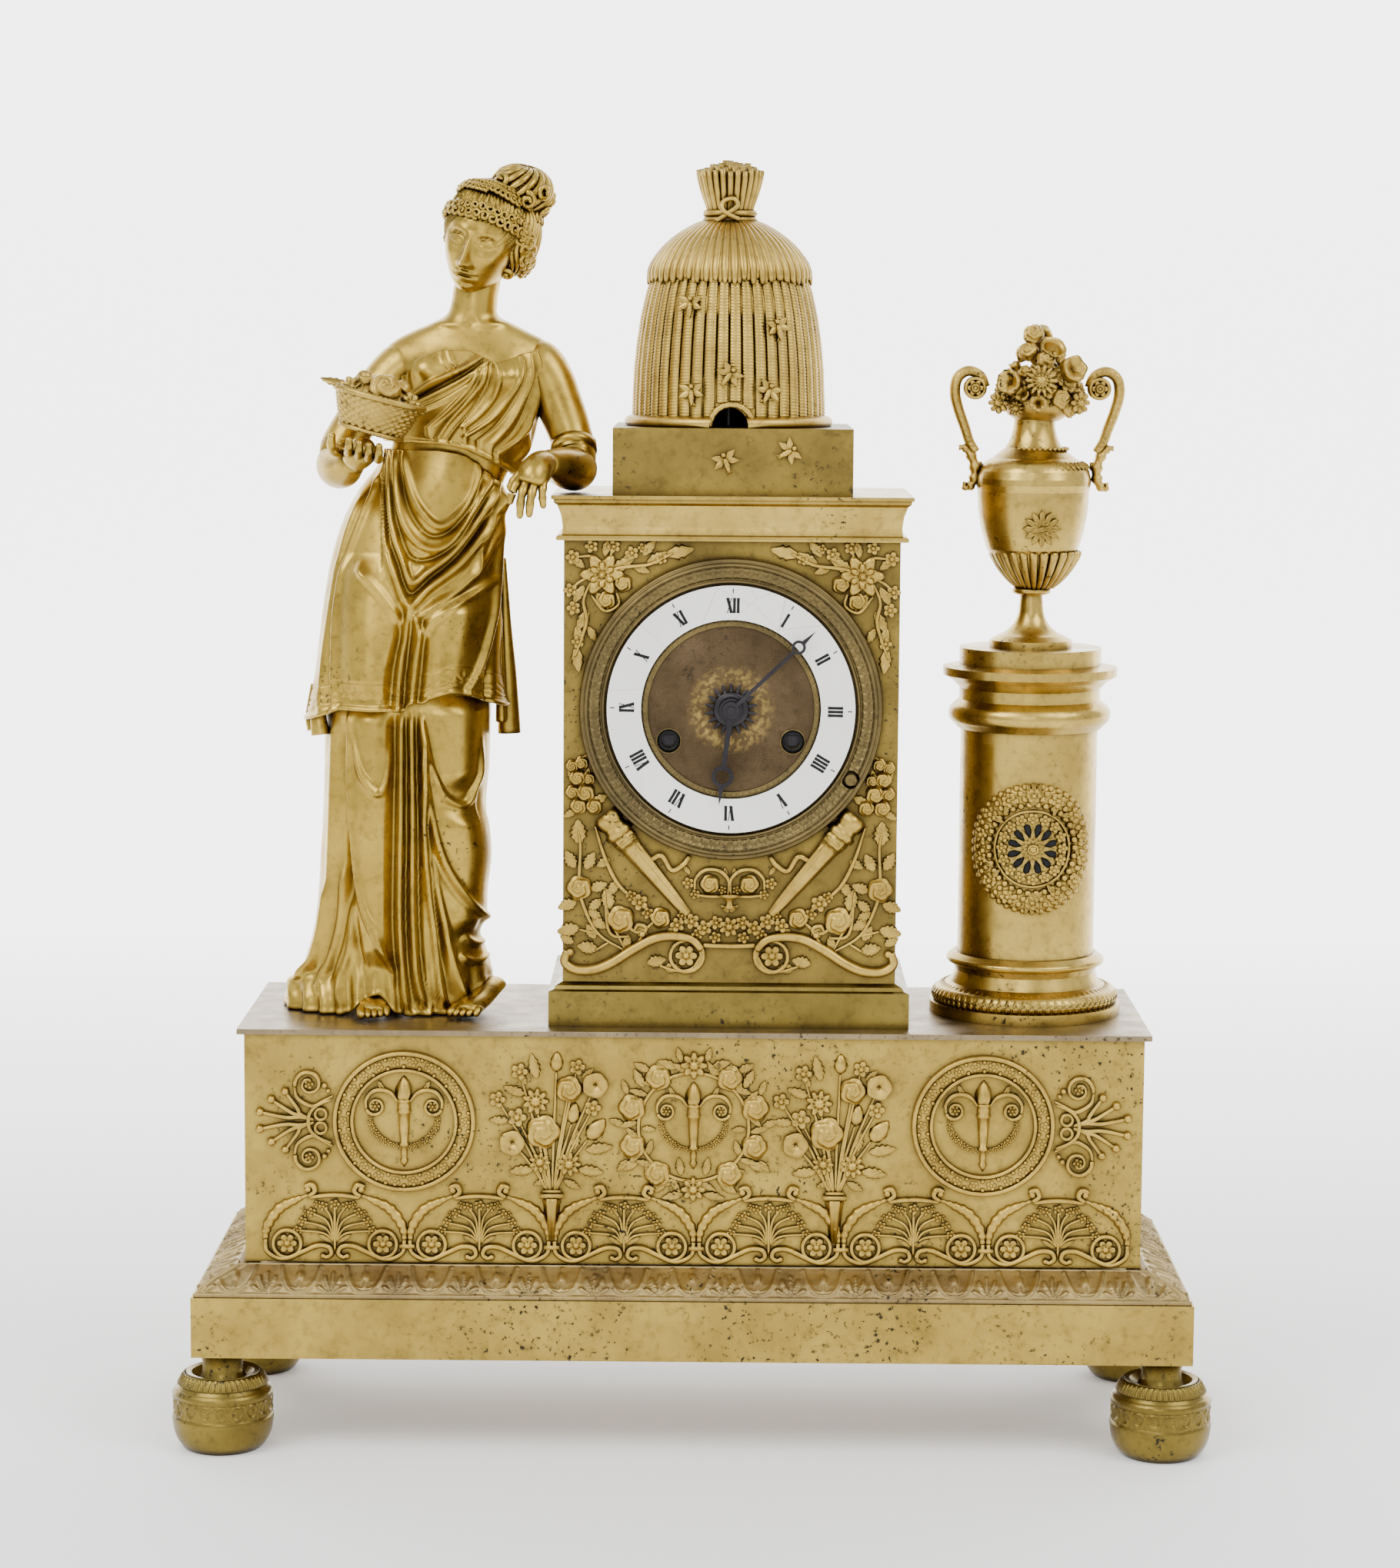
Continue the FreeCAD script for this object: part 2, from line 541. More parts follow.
# Hive block, hive, straw cap and straw bunch, held by one long bolt
hive_block_blank = middle_block("hive_block_blank", (dim.case_x, dim.hive_y, case_top),
                                dim.hive_block_length, dim.hive_block_width,
                                dim.hive_block_height)
hive_block_inside = middle_block("hive_block_inside",
                                 (dim.case_x, dim.hive_y, case_top - dim.overrun),
                                 dim.hive_block_length - dim.hive_block_wall * 2,
                                 dim.hive_block_width - dim.hive_block_wall * 2,
                                 dim.hive_block_height - dim.hive_block_wall + dim.overrun)
hive_bolt_way = rod("hive_bolt_way", hive_spot + (case_top,), bolt_hole,
                    dim.hive_block_height + dim.hive_height + dim.cap_height + dim.straw_height / 2)
keep("hive_block", drilled("hive_block", hive_block_blank, hive_block_inside, hive_bolt_way))
HIVE_SHARES = ((0.91, 0), (1, 0, 0.5), (1, 0.06), (0.925, 0.08, 0.04), (0.846, 0.72, 0.08),
               (0.74, 1), (0, 1), (0, 0.935), (0.66, 0.935, -0.1), (0.76, 0.7, -0.04), (0.83, 0.1))
hive_shell = turned("hive_shell", HIVE_SHARES, dim.hive_radius, dim.hive_height, hive_spot + (hive_z,))
hive_arch = rod("hive_arch", (dim.hive_x, dim.hive_y - dim.hive_radius - dim.overrun,
                              hive_z + dim.hive_door_height - dim.hive_door_width / 2),
                dim.hive_door_width / 2, dim.hive_radius, "back")
keep("beehive", drilled("beehive", hive_shell, hive_arch, hive_bolt_way))
CAP_SHARES = ((0, 0), (1, 0, 0.2), (0.92, 0.27, 0.12), (0.66, 0.7, -0.1), (0.33, 1), (0, 1))
hive_cap = turned("hive_cap", CAP_SHARES, dim.cap_radius, dim.cap_height, hive_spot + (cap_z,))
keep("hive_thatch", drilled("hive_thatch", hive_cap, hive_bolt_way))
STRAW_SHARES = ((0, 0), (0.75, 0, 0.5), (0.74, 0.2), (0.6, 0.24), (0.72, 0.5), (1, 0.84),
                (0.86, 1), (0, 1))
straw_bunch = turned("straw_bunch", STRAW_SHARES, dim.straw_radius, dim.straw_height,
                     hive_spot + (straw_z,))
keep("straw_finial", drilled("straw_finial", straw_bunch, hive_bolt_way))

# Bees: small mounts, two wide ones on the block and the rest round the hive
BEE_SHARES = ((-0.364, 0.80, 0.84), (0.453, 0.655, 0.868), (0, 0.342, 0.925), (-0.346, 0.22, 0.925),
              (0.362, 0.233, 0.925))
BLOCK_BEE_SHARES = ((-0.03, 0.5), (0.225, 0.66))


def bee(name, at, facing_turn=0):
    """A bee as a flat rounded drop, head up."""
    drop = doc.addObject("Part::Ellipsoid", name)
    bind(drop, "Radius1", dim.bee_length * 0.16)
    bind(drop, "Radius2", dim.bee_length * 0.24)
    bind(drop, "Radius3", dim.bee_length * 0.5)
    place(drop, at)
    drop.Placement.Rotation = Rotation(Vector(0, 0, 1), facing_turn).multiply(FACING["front"])
    return drop


bees = []
for number, (across, up, reach) in enumerate(BEE_SHARES):
    away = dim.hive_radius * reach + dim.bee_length * 0.16
    x = away * across
    y = -away * math.sqrt(1 - across * across)
    bees.append(bee(f"hive_bee_{number}", (dim.hive_x + x, dim.hive_y + y,
                                           hive_z + dim.hive_height * up),
                    math.degrees(math.asin(across))))
for number, (across, up) in enumerate(BLOCK_BEE_SHARES):
    y = dim.hive_y - dim.hive_block_width / 2 - dim.bee_length * 0.16
    bees.append(bee(f"block_bee_{number}", (dim.case_x + dim.hive_block_length * across, y,
                                            case_top + dim.hive_block_height * up)))
keep("bees", fused("bees", *bees))

# Column: turned base, tube and capital on one long bolt
COLUMN_BASE_SHARES = ((0, 0), (1, 0), (1, 0.18), (0.95, 0.2, 0.5), (0.9, 0.44), (0.78, 0.5),
                      (0.74, 0.7), (0.76, 0.8), (0.808, 0.83, 0.6), (0.808, 0.93), (0.75, 1), (0, 1))
column_way = rod("column_way", column_spot + (floor_z - dim.overrun,), bolt_hole,
                 urn_z - floor_z + dim.urn_foot_height * 0.6 + dim.overrun)
column_base = turned("column_base_solid", COLUMN_BASE_SHARES, dim.column_base_radius,
                     dim.column_base_height, column_spot + (floor_z,))
keep("column_base", drilled("column_base", column_base, column_way))
shaft_solid = rod("shaft_solid", column_spot + (shaft_z,), dim.shaft_radius, dim.shaft_height)
shaft_inside = rod("shaft_inside", column_spot + (shaft_z - dim.overrun,),
                   dim.shaft_radius - dim.shaft_wall, dim.shaft_height + dim.overrun * 2)
keep("column_shaft", drilled("column_shaft", shaft_solid, shaft_inside))
CAPITAL_SHARES = ((0, 0), (0.82, 0), (0.88, 0.07, 0.5), (0.88, 0.3), (0.81, 0.36), (0.81, 0.5),
                  (0.9, 0.6), (1, 0.66), (1, 0.76), (0.815, 0.8), (0.815, 1), (0, 1))
capital_solid = turned("capital_solid", CAPITAL_SHARES, dim.capital_radius, dim.capital_height,
                       column_spot + (capital_z,))
keep("column_capital", drilled("column_capital", capital_solid, column_way))

# Urn: foot, fluted body with a flower-filled mouth, two scroll handles
URN_FOOT_SHARES = ((0, 0), (1, 0), (1, 0.12), (0.8, 0.2, -0.3), (0.3, 0.62), (0.27, 0.84),
                   (0.43, 0.88, 0.6), (0.43, 0.97), (0.36, 1), (0, 1))
urn_spot = column_spot
urn_foot_solid = turned("urn_foot_solid", URN_FOOT_SHARES, dim.urn_foot_radius, dim.urn_foot_height,
                        urn_spot + (urn_z,))
keep("urn_foot", drilled("urn_foot", urn_foot_solid, column_way))
URN_SHARES = ((0, 0), (0.26, 0, 0.15), (0.755, 0.198), (0.8, 0.22, 0.08), (0.97, 0.56), (1, 0.6),
              (1, 0.635), (0.965, 0.68, 0.2), (0.73, 0.754), (0.5, 0.815, -0.15), (0.355, 0.98),
              (0.41, 1), (0, 1))
urn_solid = turned("urn_solid", URN_SHARES, dim.urn_radius, dim.urn_height, urn_spot + (urn_body_z,))
urn_top = urn_body_z + dim.urn_height
urn_mouth = rod("urn_mouth", urn_spot + (urn_top - dim.urn_mouth_depth,), dim.urn_mouth_radius,
                dim.urn_mouth_depth + dim.overrun)
keep("urn_body", drilled("urn_body", urn_solid, urn_mouth))


def ball(centre, radius):
    """A sphere."""
    return Part.makeSphere(radius, centre)


def limb_discs(stations):
    """Discs square to a limb's run: each station is a centre and a radius."""
    centres = [centre for centre, _ in stations]
    discs = []
    for number, (centre, radius) in enumerate(stations):
        before = centres[max(number - 1, 0)]
        after = centres[min(number + 1, len(centres) - 1)]
        circle = Part.Circle(centre, after - before, radius)
        discs.append(Part.Wire(circle.toShape()))
    return discs


def lofted(wires):
    """A smooth solid through closed curves."""
    return Part.makeLoft(wires, True, False)


def bent_tube(points, radius):
    """A tube of even thickness along straight runs with round bends between them."""
    edges = []
    start = points[0]
    for before, corner, after in zip(points, points[1:], points[2:]):
        back, on = before - corner, after - corner
        turn = math.pi - back.getAngle(on)
        reach = 0.45 * min(back.Length, on.Length)
        bend_start = corner + back.normalize() * reach
        bend_end = corner + on.normalize() * reach
        bend_radius = reach / math.tan(turn / 2)
        middle = (back + on).normalize()
        deepest = corner + middle * (bend_radius / math.cos(turn / 2) - bend_radius)
        edges.append(Part.LineSegment(start, bend_start).toShape())
        edges.append(Part.Arc(bend_start, deepest, bend_end).toShape())
        start = bend_end
    edges.append(Part.LineSegment(start, points[-1]).toShape())
    spine = Part.Wire(edges)
    section = Part.Wire(Part.Circle(points[0], points[1] - points[0], radius).toShape())
    return spine.makePipeShell([section], True, False)


# Each handle: out from the belly, up in an S, over the top and down into an inner scroll.
# The shares are of the handle's reach from the urn's axis, and of its height over its foot.
HANDLE_SHARES = ((0.667, 0.06), (0.83, 0.0), (0.9, 0.15), (0.86, 0.4), (0.95, 0.62), (1.0, 0.8),
                 (0.93, 0.97), (0.78, 1.0), (0.66, 0.9), (0.7, 0.8), (0.8, 0.82))
handle_foot = urn_top - dim.handle_height * 0.62
handle_shapes = []
for way in (-1, 1):
    route = [Vector(dim.handle_reach.number * out * way, 0, dim.handle_height.number * up)
             for out, up in HANDLE_SHARES]
    handle_shapes.append(bent_tube(route, dim.handle_radius.number))
keep("urn_handles", shaped("urn_handles", Part.makeCompound(handle_shapes), urn_spot + (handle_foot,)))

# Flowers: a stalk that stands in the urn's mouth, a round bunch and two raised bells
FLOWER_SHARES = ((0, 0.05, 0.40, 0.62), (-0.55, -0.1, 0.35, 0.42), (0.6, -0.1, 0.36, 0.42),
                 (-0.3, -0.25, 0.55, 0.42), (0.35, -0.2, 0.55, 0.42), (0.0, -0.38, 0.30, 0.44),
                 (0.05, 0.3, 0.5, 0.45), (-0.35, 0.25, 0.42, 0.42), (0.5, 0.3, 0.42, 0.36),
                 (0.1, 0, 0.74, 0.27))
flowers_wide, flowers_tall = dim.flowers_radius.number, dim.flowers_height.number
stalk_length = (dim.urn_mouth_depth * 0.9).number
stalk = Part.makeCylinder((dim.urn_mouth_radius - dim.fit_gap).number,
                          stalk_length + flowers_tall * 0.4, Vector(0, 0, -stalk_length))
blooms = [ball(Vector(x * flowers_wide, y * flowers_wide, z * flowers_tall), r * flowers_wide)
          for x, y, z, r in FLOWER_SHARES]
bunch = stalk.multiFuse(blooms)
over_lip = Part.makeBox(flowers_wide * 4, flowers_wide * 4, flowers_tall * 2,
                        Vector(-flowers_wide * 2, -flowers_wide * 2, 0))
bunch = bunch.common(over_lip).fuse(stalk).removeSplitter()
keep("urn_flowers", shaped("urn_flowers", bunch, urn_spot + (urn_top,)))

# Bolts: heads under the deck, nuts inside; the hive's bolt hangs from the block's ceiling
bolts = []


def bolt(word, spot, head_z, length, nut_z=None):
    """A bolt with its head below, and a nut where it comes out."""
    pieces = [rod(f"bolt_head_{word}", spot + (head_z - dim.bolt_head_height,),
                  dim.bolt_head_radius, dim.bolt_head_height),
              rod(f"bolt_{word}", spot + (head_z - dim.bolt_head_height,), dim.bolt_radius,
                  length + dim.bolt_head_height)]
    if nut_z is not None:
        pieces.append(rod(f"nut_{word}", spot + (nut_z,), dim.bolt_head_radius,
                          dim.bolt_head_height))
    bolts.append(fused(f"whole_bolt_{word}", *pieces))


skirt_bore_depth = dim.case_foot_height
bolt("figure", figure_bolt, deck_z, dim.deck_thickness + skirt_bore_depth * 0.9)
for word, spot in case_bolts.items():
    bolt("case_" + word, spot, deck_z, bolt_length + dim.bolt_head_height * 1.5, case_z)
bolt("column", column_spot, deck_z, urn_z - deck_z + dim.urn_foot_height * 0.5)
bolt("hive", hive_spot, case_top - dim.case_wall,
     dim.case_wall + dim.hive_block_height + dim.hive_height + dim.cap_height
     + dim.straw_height * 0.4)
keep("mounting_bolts", fused("mounting_bolts", *bolts))

# Figure, in its castings. A section is a closed curve with folds; each row of shares gives its
# height, its middle to the left and back, its half breadth, half depth and how deep its folds are
SKIRT_SHARES = ((0, 0.638, 0.05, 0.406, 0.45, 1.0), (0.035, 0.64, 0.05, 0.385, 0.42, 1.0),
                (0.09, 0.643, 0.03, 0.344, 0.38, 1.0), (0.26, 0.603, 0.0, 0.305, 0.35, 0.9),
                (0.435, 0.628, -0.03, 0.264, 0.36, 0.7), (0.576, 0.585, 0.0, 0.31, 0.38, 0.4))
OVERSKIRT_SHARES = ((0.546, 0.567, 0.0, 0.372, 0.45, 1.0), (0.64, 0.56, 0.0, 0.357, 0.43, 0.9),
                    (0.763, 0.544, 0.0, 0.331, 0.42, 0.7), (0.874, 0.515, 0.01, 0.292, 0.38, 0.5),
                    (0.96, 0.468, 0.02, 0.255, 0.33, 0.3), (1.049, 0.447, 0.03, 0.219, 0.28, 0.1))
TORSO_SHARES = ((1.049, 0.447, 0.03, 0.219, 0.28, 0.1), (1.13, 0.43, 0.0, 0.2, 0.29, 0.0),
                (1.26, 0.375, -0.02, 0.2, 0.32, 0.3), (1.376, 0.35, 0.0, 0.22, 0.27, 0.2),
                (1.45, 0.35, 0.03, 0.2, 0.2, 0.0), (1.5, 0.348, 0.03, 0.14, 0.17, 0.0),
                (1.53, 0.345, 0.02, 0.094, 0.155, 0.0))
FOLDS = 11
SECTION_POINTS = 44


def section(height, left, back, half_breadth, half_depth, folds):
    """A level closed curve round the figure's middle, waved by its folds."""
    centre = figure_point(height, left, back)
    breadth = dim.figure_breadth.number * half_breadth
    depth = dim.figure_depth.number * half_depth
    points = []
    for step in range(SECTION_POINTS):
        turn = 2 * math.pi * step / SECTION_POINTS
        wave = dim.fold_depth.number * folds * math.cos(FOLDS * turn)
        points.append(centre + Vector((breadth + wave) * math.cos(turn),
                                      (depth + wave) * math.sin(turn), 0))
    curve = Part.BSplineCurve()
    curve.interpolate(Points=points, PeriodicFlag=True)
    return Part.Wire(curve.toShape())


def draped(rows):
    """A smooth body through level sections."""
    return Part.makeLoft([section(*row) for row in rows], True, False)


bolt_bore = Part.makeCylinder(bolt_hole.number, skirt_bore_depth.number,
                              Vector(figure_bolt[0].number, figure_bolt[1].number, floor_z.number))
skirt = draped(SKIRT_SHARES).fuse(draped(OVERSKIRT_SHARES)).cut(bolt_bore).removeSplitter()
keep("figure_skirt", shaped("figure_skirt", skirt))


def arm_station(height, left, back, radius_share):
    """A disc on an arm: its centre from the figure's shares, its radius a share of the arm's."""
    return (figure_point(height, left, back), dim.arm_radius.number * radius_share)


# Each arm is one run of discs. The torso ends at the second disc, where the arm is joined on.
right_run = limb_discs([
    arm_station(1.37, 0.53, 0.02, 1.25), arm_station(1.345, 0.6, 0.0, 1.12),
    arm_station(1.235, 0.73, -0.06, 0.98), arm_station(1.115, 0.81, -0.14, 1.0),
    arm_station(1.065, 0.81, -0.26, 0.88), arm_station(1.075, 0.76, -0.42, 0.72),
    arm_station(1.1, 0.69, -0.57, 0.62)])
left_run = limb_discs([
    arm_station(1.39, 0.16, 0.0, 1.2), arm_station(1.35, 0.09, -0.01, 1.1),
    arm_station(1.22, 0.01, -0.03, 1.05), arm_station(1.115, -0.04, -0.06, 0.95),
    arm_station(1.083, -0.035, -0.17, 0.93), arm_station(1.075, 0.01, -0.36, 0.86),
    arm_station(1.07, 0.06, -0.55, 0.68), arm_station(1.045, 0.1, -0.7, 0.55),
    arm_station(0.99, 0.135, -0.8, 0.5), arm_station(0.95, 0.155, -0.85, 0.3)])
JOINT_DISC, FOREARM_DISC = 1, 5
torso = draped(TORSO_SHARES)
torso = torso.fuse([lofted(right_run[:JOINT_DISC + 1]), lofted(left_run[:JOINT_DISC + 1])])
keep("figure_torso", shaped("figure_torso", torso.removeSplitter()))
keep("figure_left_arm", shaped("figure_left_arm", lofted(left_run[JOINT_DISC:FOREARM_DISC + 1])))
keep("figure_left_forearm", shaped("figure_left_forearm", lofted(left_run[FOREARM_DISC:])))

# The right hand's palm carries the basket
BASKET_PLACE_SHARES = (1.168, 0.675, -0.6)
palm = figure_point(*BASKET_PLACE_SHARES)
palm_radius = dim.arm_radius.number
hand = Part.makeCone(palm_radius * 0.5, palm_radius, palm_radius * 1.2,
                     palm - Vector(0, 0, palm_radius * 1.2))
right_arm = lofted(right_run[JOINT_DISC:]).fuse(hand).cut(torso).removeSplitter()
keep("figure_right_arm", shaped("figure_right_arm", right_arm))
BASKET_SHARES = ((0, 0), (0.7, 0), (0.74, 0.1), (0.9, 0.5), (1, 0.66), (0.98, 0.72, 0.35),
                 (0.3, 1), (0, 1))
basket_at = (case_left - dim.figure_breadth * BASKET_PLACE_SHARES[1],
             dim.figure_depth * BASKET_PLACE_SHARES[2],
             case_top + dim.figure_rise * (BASKET_PLACE_SHARES[0] - 1))
keep("flower_basket", turned("flower_basket", BASKET_SHARES, dim.basket_radius, dim.basket_height,
                             basket_at))

# Head: neck, head, hair and bun in one casting, tilted to the right
HEAD_TILT_SHARE = 0.036
NECK_SHARES = ((1.53, 0.345, 0.02, 0.094, 0.155, 0.0), (1.6, 0.332, 0.0, 0.085, 0.14, 0.0),
               (1.7, 0.315, 0.0, 0.085, 0.14, 0.0))
HEAD_SHARES = (1.815, 0.287, -0.04)
HAIR_SHARES = (1.845, 0.265, 0.04)
BUN_SHARES = (1.875, 0.165, 0.19)


def egg(centre, breadth_share, depth_share, rise_share):
    """An upright egg on the figure, leaning with the head."""
    scale = FreeCAD.Matrix()
    scale.scale(dim.figure_breadth.number * breadth_share, dim.figure_depth.number * depth_share,
                dim.figure_rise.number * rise_share)
    solid = Part.makeSphere(1).transformGeometry(scale)
    solid.Placement = Placement(centre, Rotation(Vector(0, 1, 0), 360 * HEAD_TILT_SHARE))
    return solid


head = draped(NECK_SHARES).fuse([egg(figure_point(*HEAD_SHARES), 0.14, 0.29, 0.175),
                                 egg(figure_point(*HAIR_SHARES), 0.155, 0.31, 0.155),
                                 egg(figure_point(*BUN_SHARES), 0.09, 0.17, 0.085)])
keep("figure_head", shaped("figure_head", head.removeSplitter()))


# Reliefs: flat mounts made of tapering strokes. A stroke is (x, z, radius, x, z, radius); x and
# the radius are shares of half the mount's length, z is a share of half its height
def stroke_solid(stroke, half_length, half_height, depth, way):
    """One tapering stroke with round ends, standing out of the wall by its depth."""
    x1, z1, r1, x2, z2, r2 = stroke
    first = Vector(x1 * half_length * way, 0, z1 * half_height)
    second = Vector(x2 * half_length * way, 0, z2 * half_height)
    r1, r2 = r1 * half_length, r2 * half_length
    run = second - first
    if run.Length <= abs(r1 - r2):
        return Part.makeCylinder(max(r1, r2), depth, first, Vector(0, -1, 0))
    heading = math.atan2(run.z, run.x)
    lean = math.acos((r1 - r2) / run.Length)

    def rim(centre, radius, turn):
        return centre + Vector(math.cos(turn) * radius, 0, math.sin(turn) * radius)

    a, b = rim(first, r1, heading + lean), rim(second, r2, heading + lean)
    c, d = rim(second, r2, heading - lean), rim(first, r1, heading - lean)
    edges = [Part.LineSegment(a, b), Part.Arc(b, rim(second, r2, heading), c),
             Part.LineSegment(c, d), Part.Arc(d, rim(first, r1, heading + math.pi), a)]
    face = Part.Face(Part.Wire([edge.toShape() for edge in edges]))
    return face.extrude(Vector(0, -depth, 0))


def relief(strokes, length, height, centre_x, wall_y, centre_z, way=1):
    """A mount on a wall: its strokes, joined. Way -1 mirrors it."""
    depth = dim.relief_depth.number
    solids = [stroke_solid(stroke, length.number / 2, height.number / 2, depth, way)
              for stroke in strokes]
    joined = solids[0].multiFuse(solids[1:]) if len(solids) > 1 else solids[0]
    joined = joined.removeSplitter()
    joined.translate(Vector(as_size(centre_x).number, wall_y.number, as_size(centre_z).number))
    return joined


def ring(outer, inner, centre_x, wall_y, centre_z):
    """A flat ring on a wall."""
    at = Vector(as_size(centre_x).number, wall_y.number, as_size(centre_z).number)
    depth = dim.relief_depth.number
    disc = Part.makeCylinder(outer, depth, at, Vector(0, -1, 0))
    return disc.cut(Part.makeCylinder(inner, depth, at, Vector(0, -1, 0)))


plinth_middle = plinth_z + dim.plinth_height / 2
upper_row = plinth_z + dim.plinth_height * 0.67
lower_row = plinth_z + dim.plinth_height * 0.185
PALMETTE_SHARES = ((0.9, 0, 0.12, -0.1, 0, 0.12), (0.7, 0, 0.1, -0.9, 0.0, 0.1),
                   (0.7, 0, 0.1, -0.8, 0.42, 0.09), (0.7, 0, 0.1, -0.8, -0.42, 0.09),
                   (0.7, 0, 0.1, -0.45, 0.72, 0.09), (0.7, 0, 0.1, -0.45, -0.72, 0.09),
                   (0.7, 0, 0.1, 0.05, 0.88, 0.09), (0.7, 0, 0.1, 0.05, -0.88, 0.09))
TORCH_IN_RING_SHARES = ((0, -0.72, 0.05, 0, 0.25, 0.13), (0, 0.3, 0.16, 0, 0.62, 0.04),
                        (-0.45, -0.45, 0.08, 0.45, -0.2, 0.06))
medallions = []
for way in (-1, 1):
    x = dim.medallion_x * way
    medallions.append(ring(dim.medallion_radius.number, dim.medallion_hole.number, x,
                           plinth_front, upper_row))
    inner = dim.medallion_hole * 2
    medallions.append(relief(TORCH_IN_RING_SHARES, inner, inner, x, plinth_front, upper_row, way))
    medallions.append(relief(PALMETTE_SHARES, dim.palmette_length, dim.palmette_height,
                             dim.palmette_x * way + dim.palmette_length * 0.12 * way,
                             plinth_front, upper_row, -way))
keep("plinth_medallions", shaped("plinth_medallions",
                                 medallions[0].multiFuse(medallions[1:]).removeSplitter()))

BOUQUET_SHARES = ((0, -0.88, 0.03, 0.02, -0.4, 0.2), (0.02, -0.4, 0.2, 0.02, -0.15, 0.28),
                  (0, 0.1, 0.42, 0, 0.3, 0.42), (-0.3, 0.1, 0.25, -0.75, 0.35, 0.16),
                  (0.3, 0.1, 0.25, 0.75, 0.35, 0.16), (-0.2, 0.4, 0.25, -0.5, 0.75, 0.14),
                  (0.2, 0.4, 0.25, 0.5, 0.78, 0.14), (0, 0.4, 0.3, 0, 0.9, 0.12),
                  (-0.3, 0.0, 0.18, -0.8, -0.1, 0.08), (0.3, 0.0, 0.18, 0.8, -0.1, 0.08))
bouquets = [relief(BOUQUET_SHARES, dim.bouquet_length, dim.bouquet_height, dim.bouquet_x * way,
                   plinth_front, plinth_middle, way) for way in (-1, 1)]
keep("plinth_bouquets", shaped("plinth_bouquets", Part.makeCompound(bouquets)))

wreath_inner = (dim.wreath_radius - dim.wreath_tube * 2).number
WREATH_TORCH_SHARES = ((0.0, -0.85, 0.06, 0.0, 0.2, 0.14), (0, 0.25, 0.18, 0, 0.8, 0.05))
wreath = ring(dim.wreath_radius.number, wreath_inner, 0, plinth_front, upper_row)
wreath_torch = relief(WREATH_TORCH_SHARES, dim.wreath_radius, dim.wreath_radius * 2, 0,
                      plinth_front, upper_row)
keep("plinth_wreath", shaped("plinth_wreath", wreath.fuse(wreath_torch).removeSplitter()))

LUNETTE_SHARES = ((-0.85, -0.75, 0.15, -0.85, -0.75, 0.15), (0.85, -0.75, 0.15, 0.85, -0.75, 0.15),
                  (-0.85, -0.7, 0.1, -0.72, 0.1, 0.08), (-0.72, 0.1, 0.08, -0.4, 0.78, 0.08),
                  (-0.4, 0.85, 0.07, 0.4, 0.85, 0.07), (0.4, 0.78, 0.08, 0.72, 0.1, 0.08),
                  (0.72, 0.1, 0.08, 0.85, -0.7, 0.1), (-0.85, -0.85, 0.06, 0.85, -0.85, 0.06),
                  (0, -0.85, 0.14, 0, 0.6, 0.12), (0, -0.7, 0.1, -0.42, 0.35, 0.09),
                  (0, -0.7, 0.1, 0.42, 0.35, 0.09))
LUNETTE_COUNT = 6
lunettes = []
for number in range(LUNETTE_COUNT):
    x = dim.lunette_pitch * (number - (LUNETTE_COUNT - 1) / 2)
    lunettes.append(relief(LUNETTE_SHARES, dim.lunette_length, dim.lunette_height, x,
                           plinth_front, lower_row))
keep("plinth_lunettes", shaped("plinth_lunettes", Part.makeCompound(lunettes)))

SPRAY_SHARES = ((-0.85, 0.85, 0.14, -0.45, 0.45, 0.2), (-0.45, 0.45, 0.2, -0.45, 0.45, 0.28),
                (-0.6, 0.75, 0.12, 0.85, 0.8, 0.06), (-0.75, 0.6, 0.12, -0.8, -0.9, 0.06),
                (-0.3, 0.6, 0.14, 0.35, 0.55, 0.12), (-0.6, 0.3, 0.14, -0.55, -0.4, 0.12),
                (0.1, 0.72, 0.1, 0.1, 0.72, 0.14), (-0.75, -0.1, 0.1, -0.75, -0.1, 0.14))
spray_x = dim.case_length / 2 - dim.spray_length / 2
spray_z = cornice_z - dim.spray_height / 2
sprays = [relief(SPRAY_SHARES, dim.spray_length, dim.spray_height, dim.case_x + spray_x * way,
                 case_front, spray_z, -way) for way in (-1, 1)]
TORCH_SHARES = ((-0.9, 0.88, 0.12, -0.7, 0.5, 0.1), (-0.75, 0.55, 0.12, 0.9, -0.9, 0.05),
                (-0.85, -0.55, 0.16, -0.45, -0.75, 0.16), (-0.45, -0.75, 0.12, 0.1, -0.85, 0.12),
                (-0.55, 0.1, 0.1, -0.7, -0.2, 0.1), (-0.7, -0.2, 0.08, -0.85, -0.55, 0.12),
                (0.1, -0.85, 0.12, 0.55, -0.75, 0.08))
torch_x = dim.case_length / 2 - dim.torch_length / 2
TORCH_MIDDLE_SHARE = 0.5062
torch_z = case_z + (dial_z - case_z) * TORCH_MIDDLE_SHARE
torches = [relief(TORCH_SHARES, dim.torch_length, dim.torch_height, dim.case_x + torch_x * way,
                  case_front, torch_z, -way) for way in (-1, 1)]
SCROLL_SHARES = ((0, 0.85, 0.16, 0, -0.1, 0.1), (0, -0.1, 0.12, -0.5, -0.55, 0.1),
                 (0, -0.1, 0.12, 0.5, -0.55, 0.1), (-0.5, -0.55, 0.16, -0.5, -0.55, 0.2),
                 (0.5, -0.55, 0.16, 0.5, -0.55, 0.2), (0, -0.1, 0.1, 0, -0.9, 0.06),
                 (-0.5, -0.5, 0.07, -0.85, 0.25, 0.05), (0.5, -0.5, 0.07, 0.85, 0.25, 0.05))
scroll_z = case_z + dim.scroll_height / 2
scroll = relief(SCROLL_SHARES, dim.scroll_length, dim.scroll_height, dim.case_x, case_front,
                scroll_z)
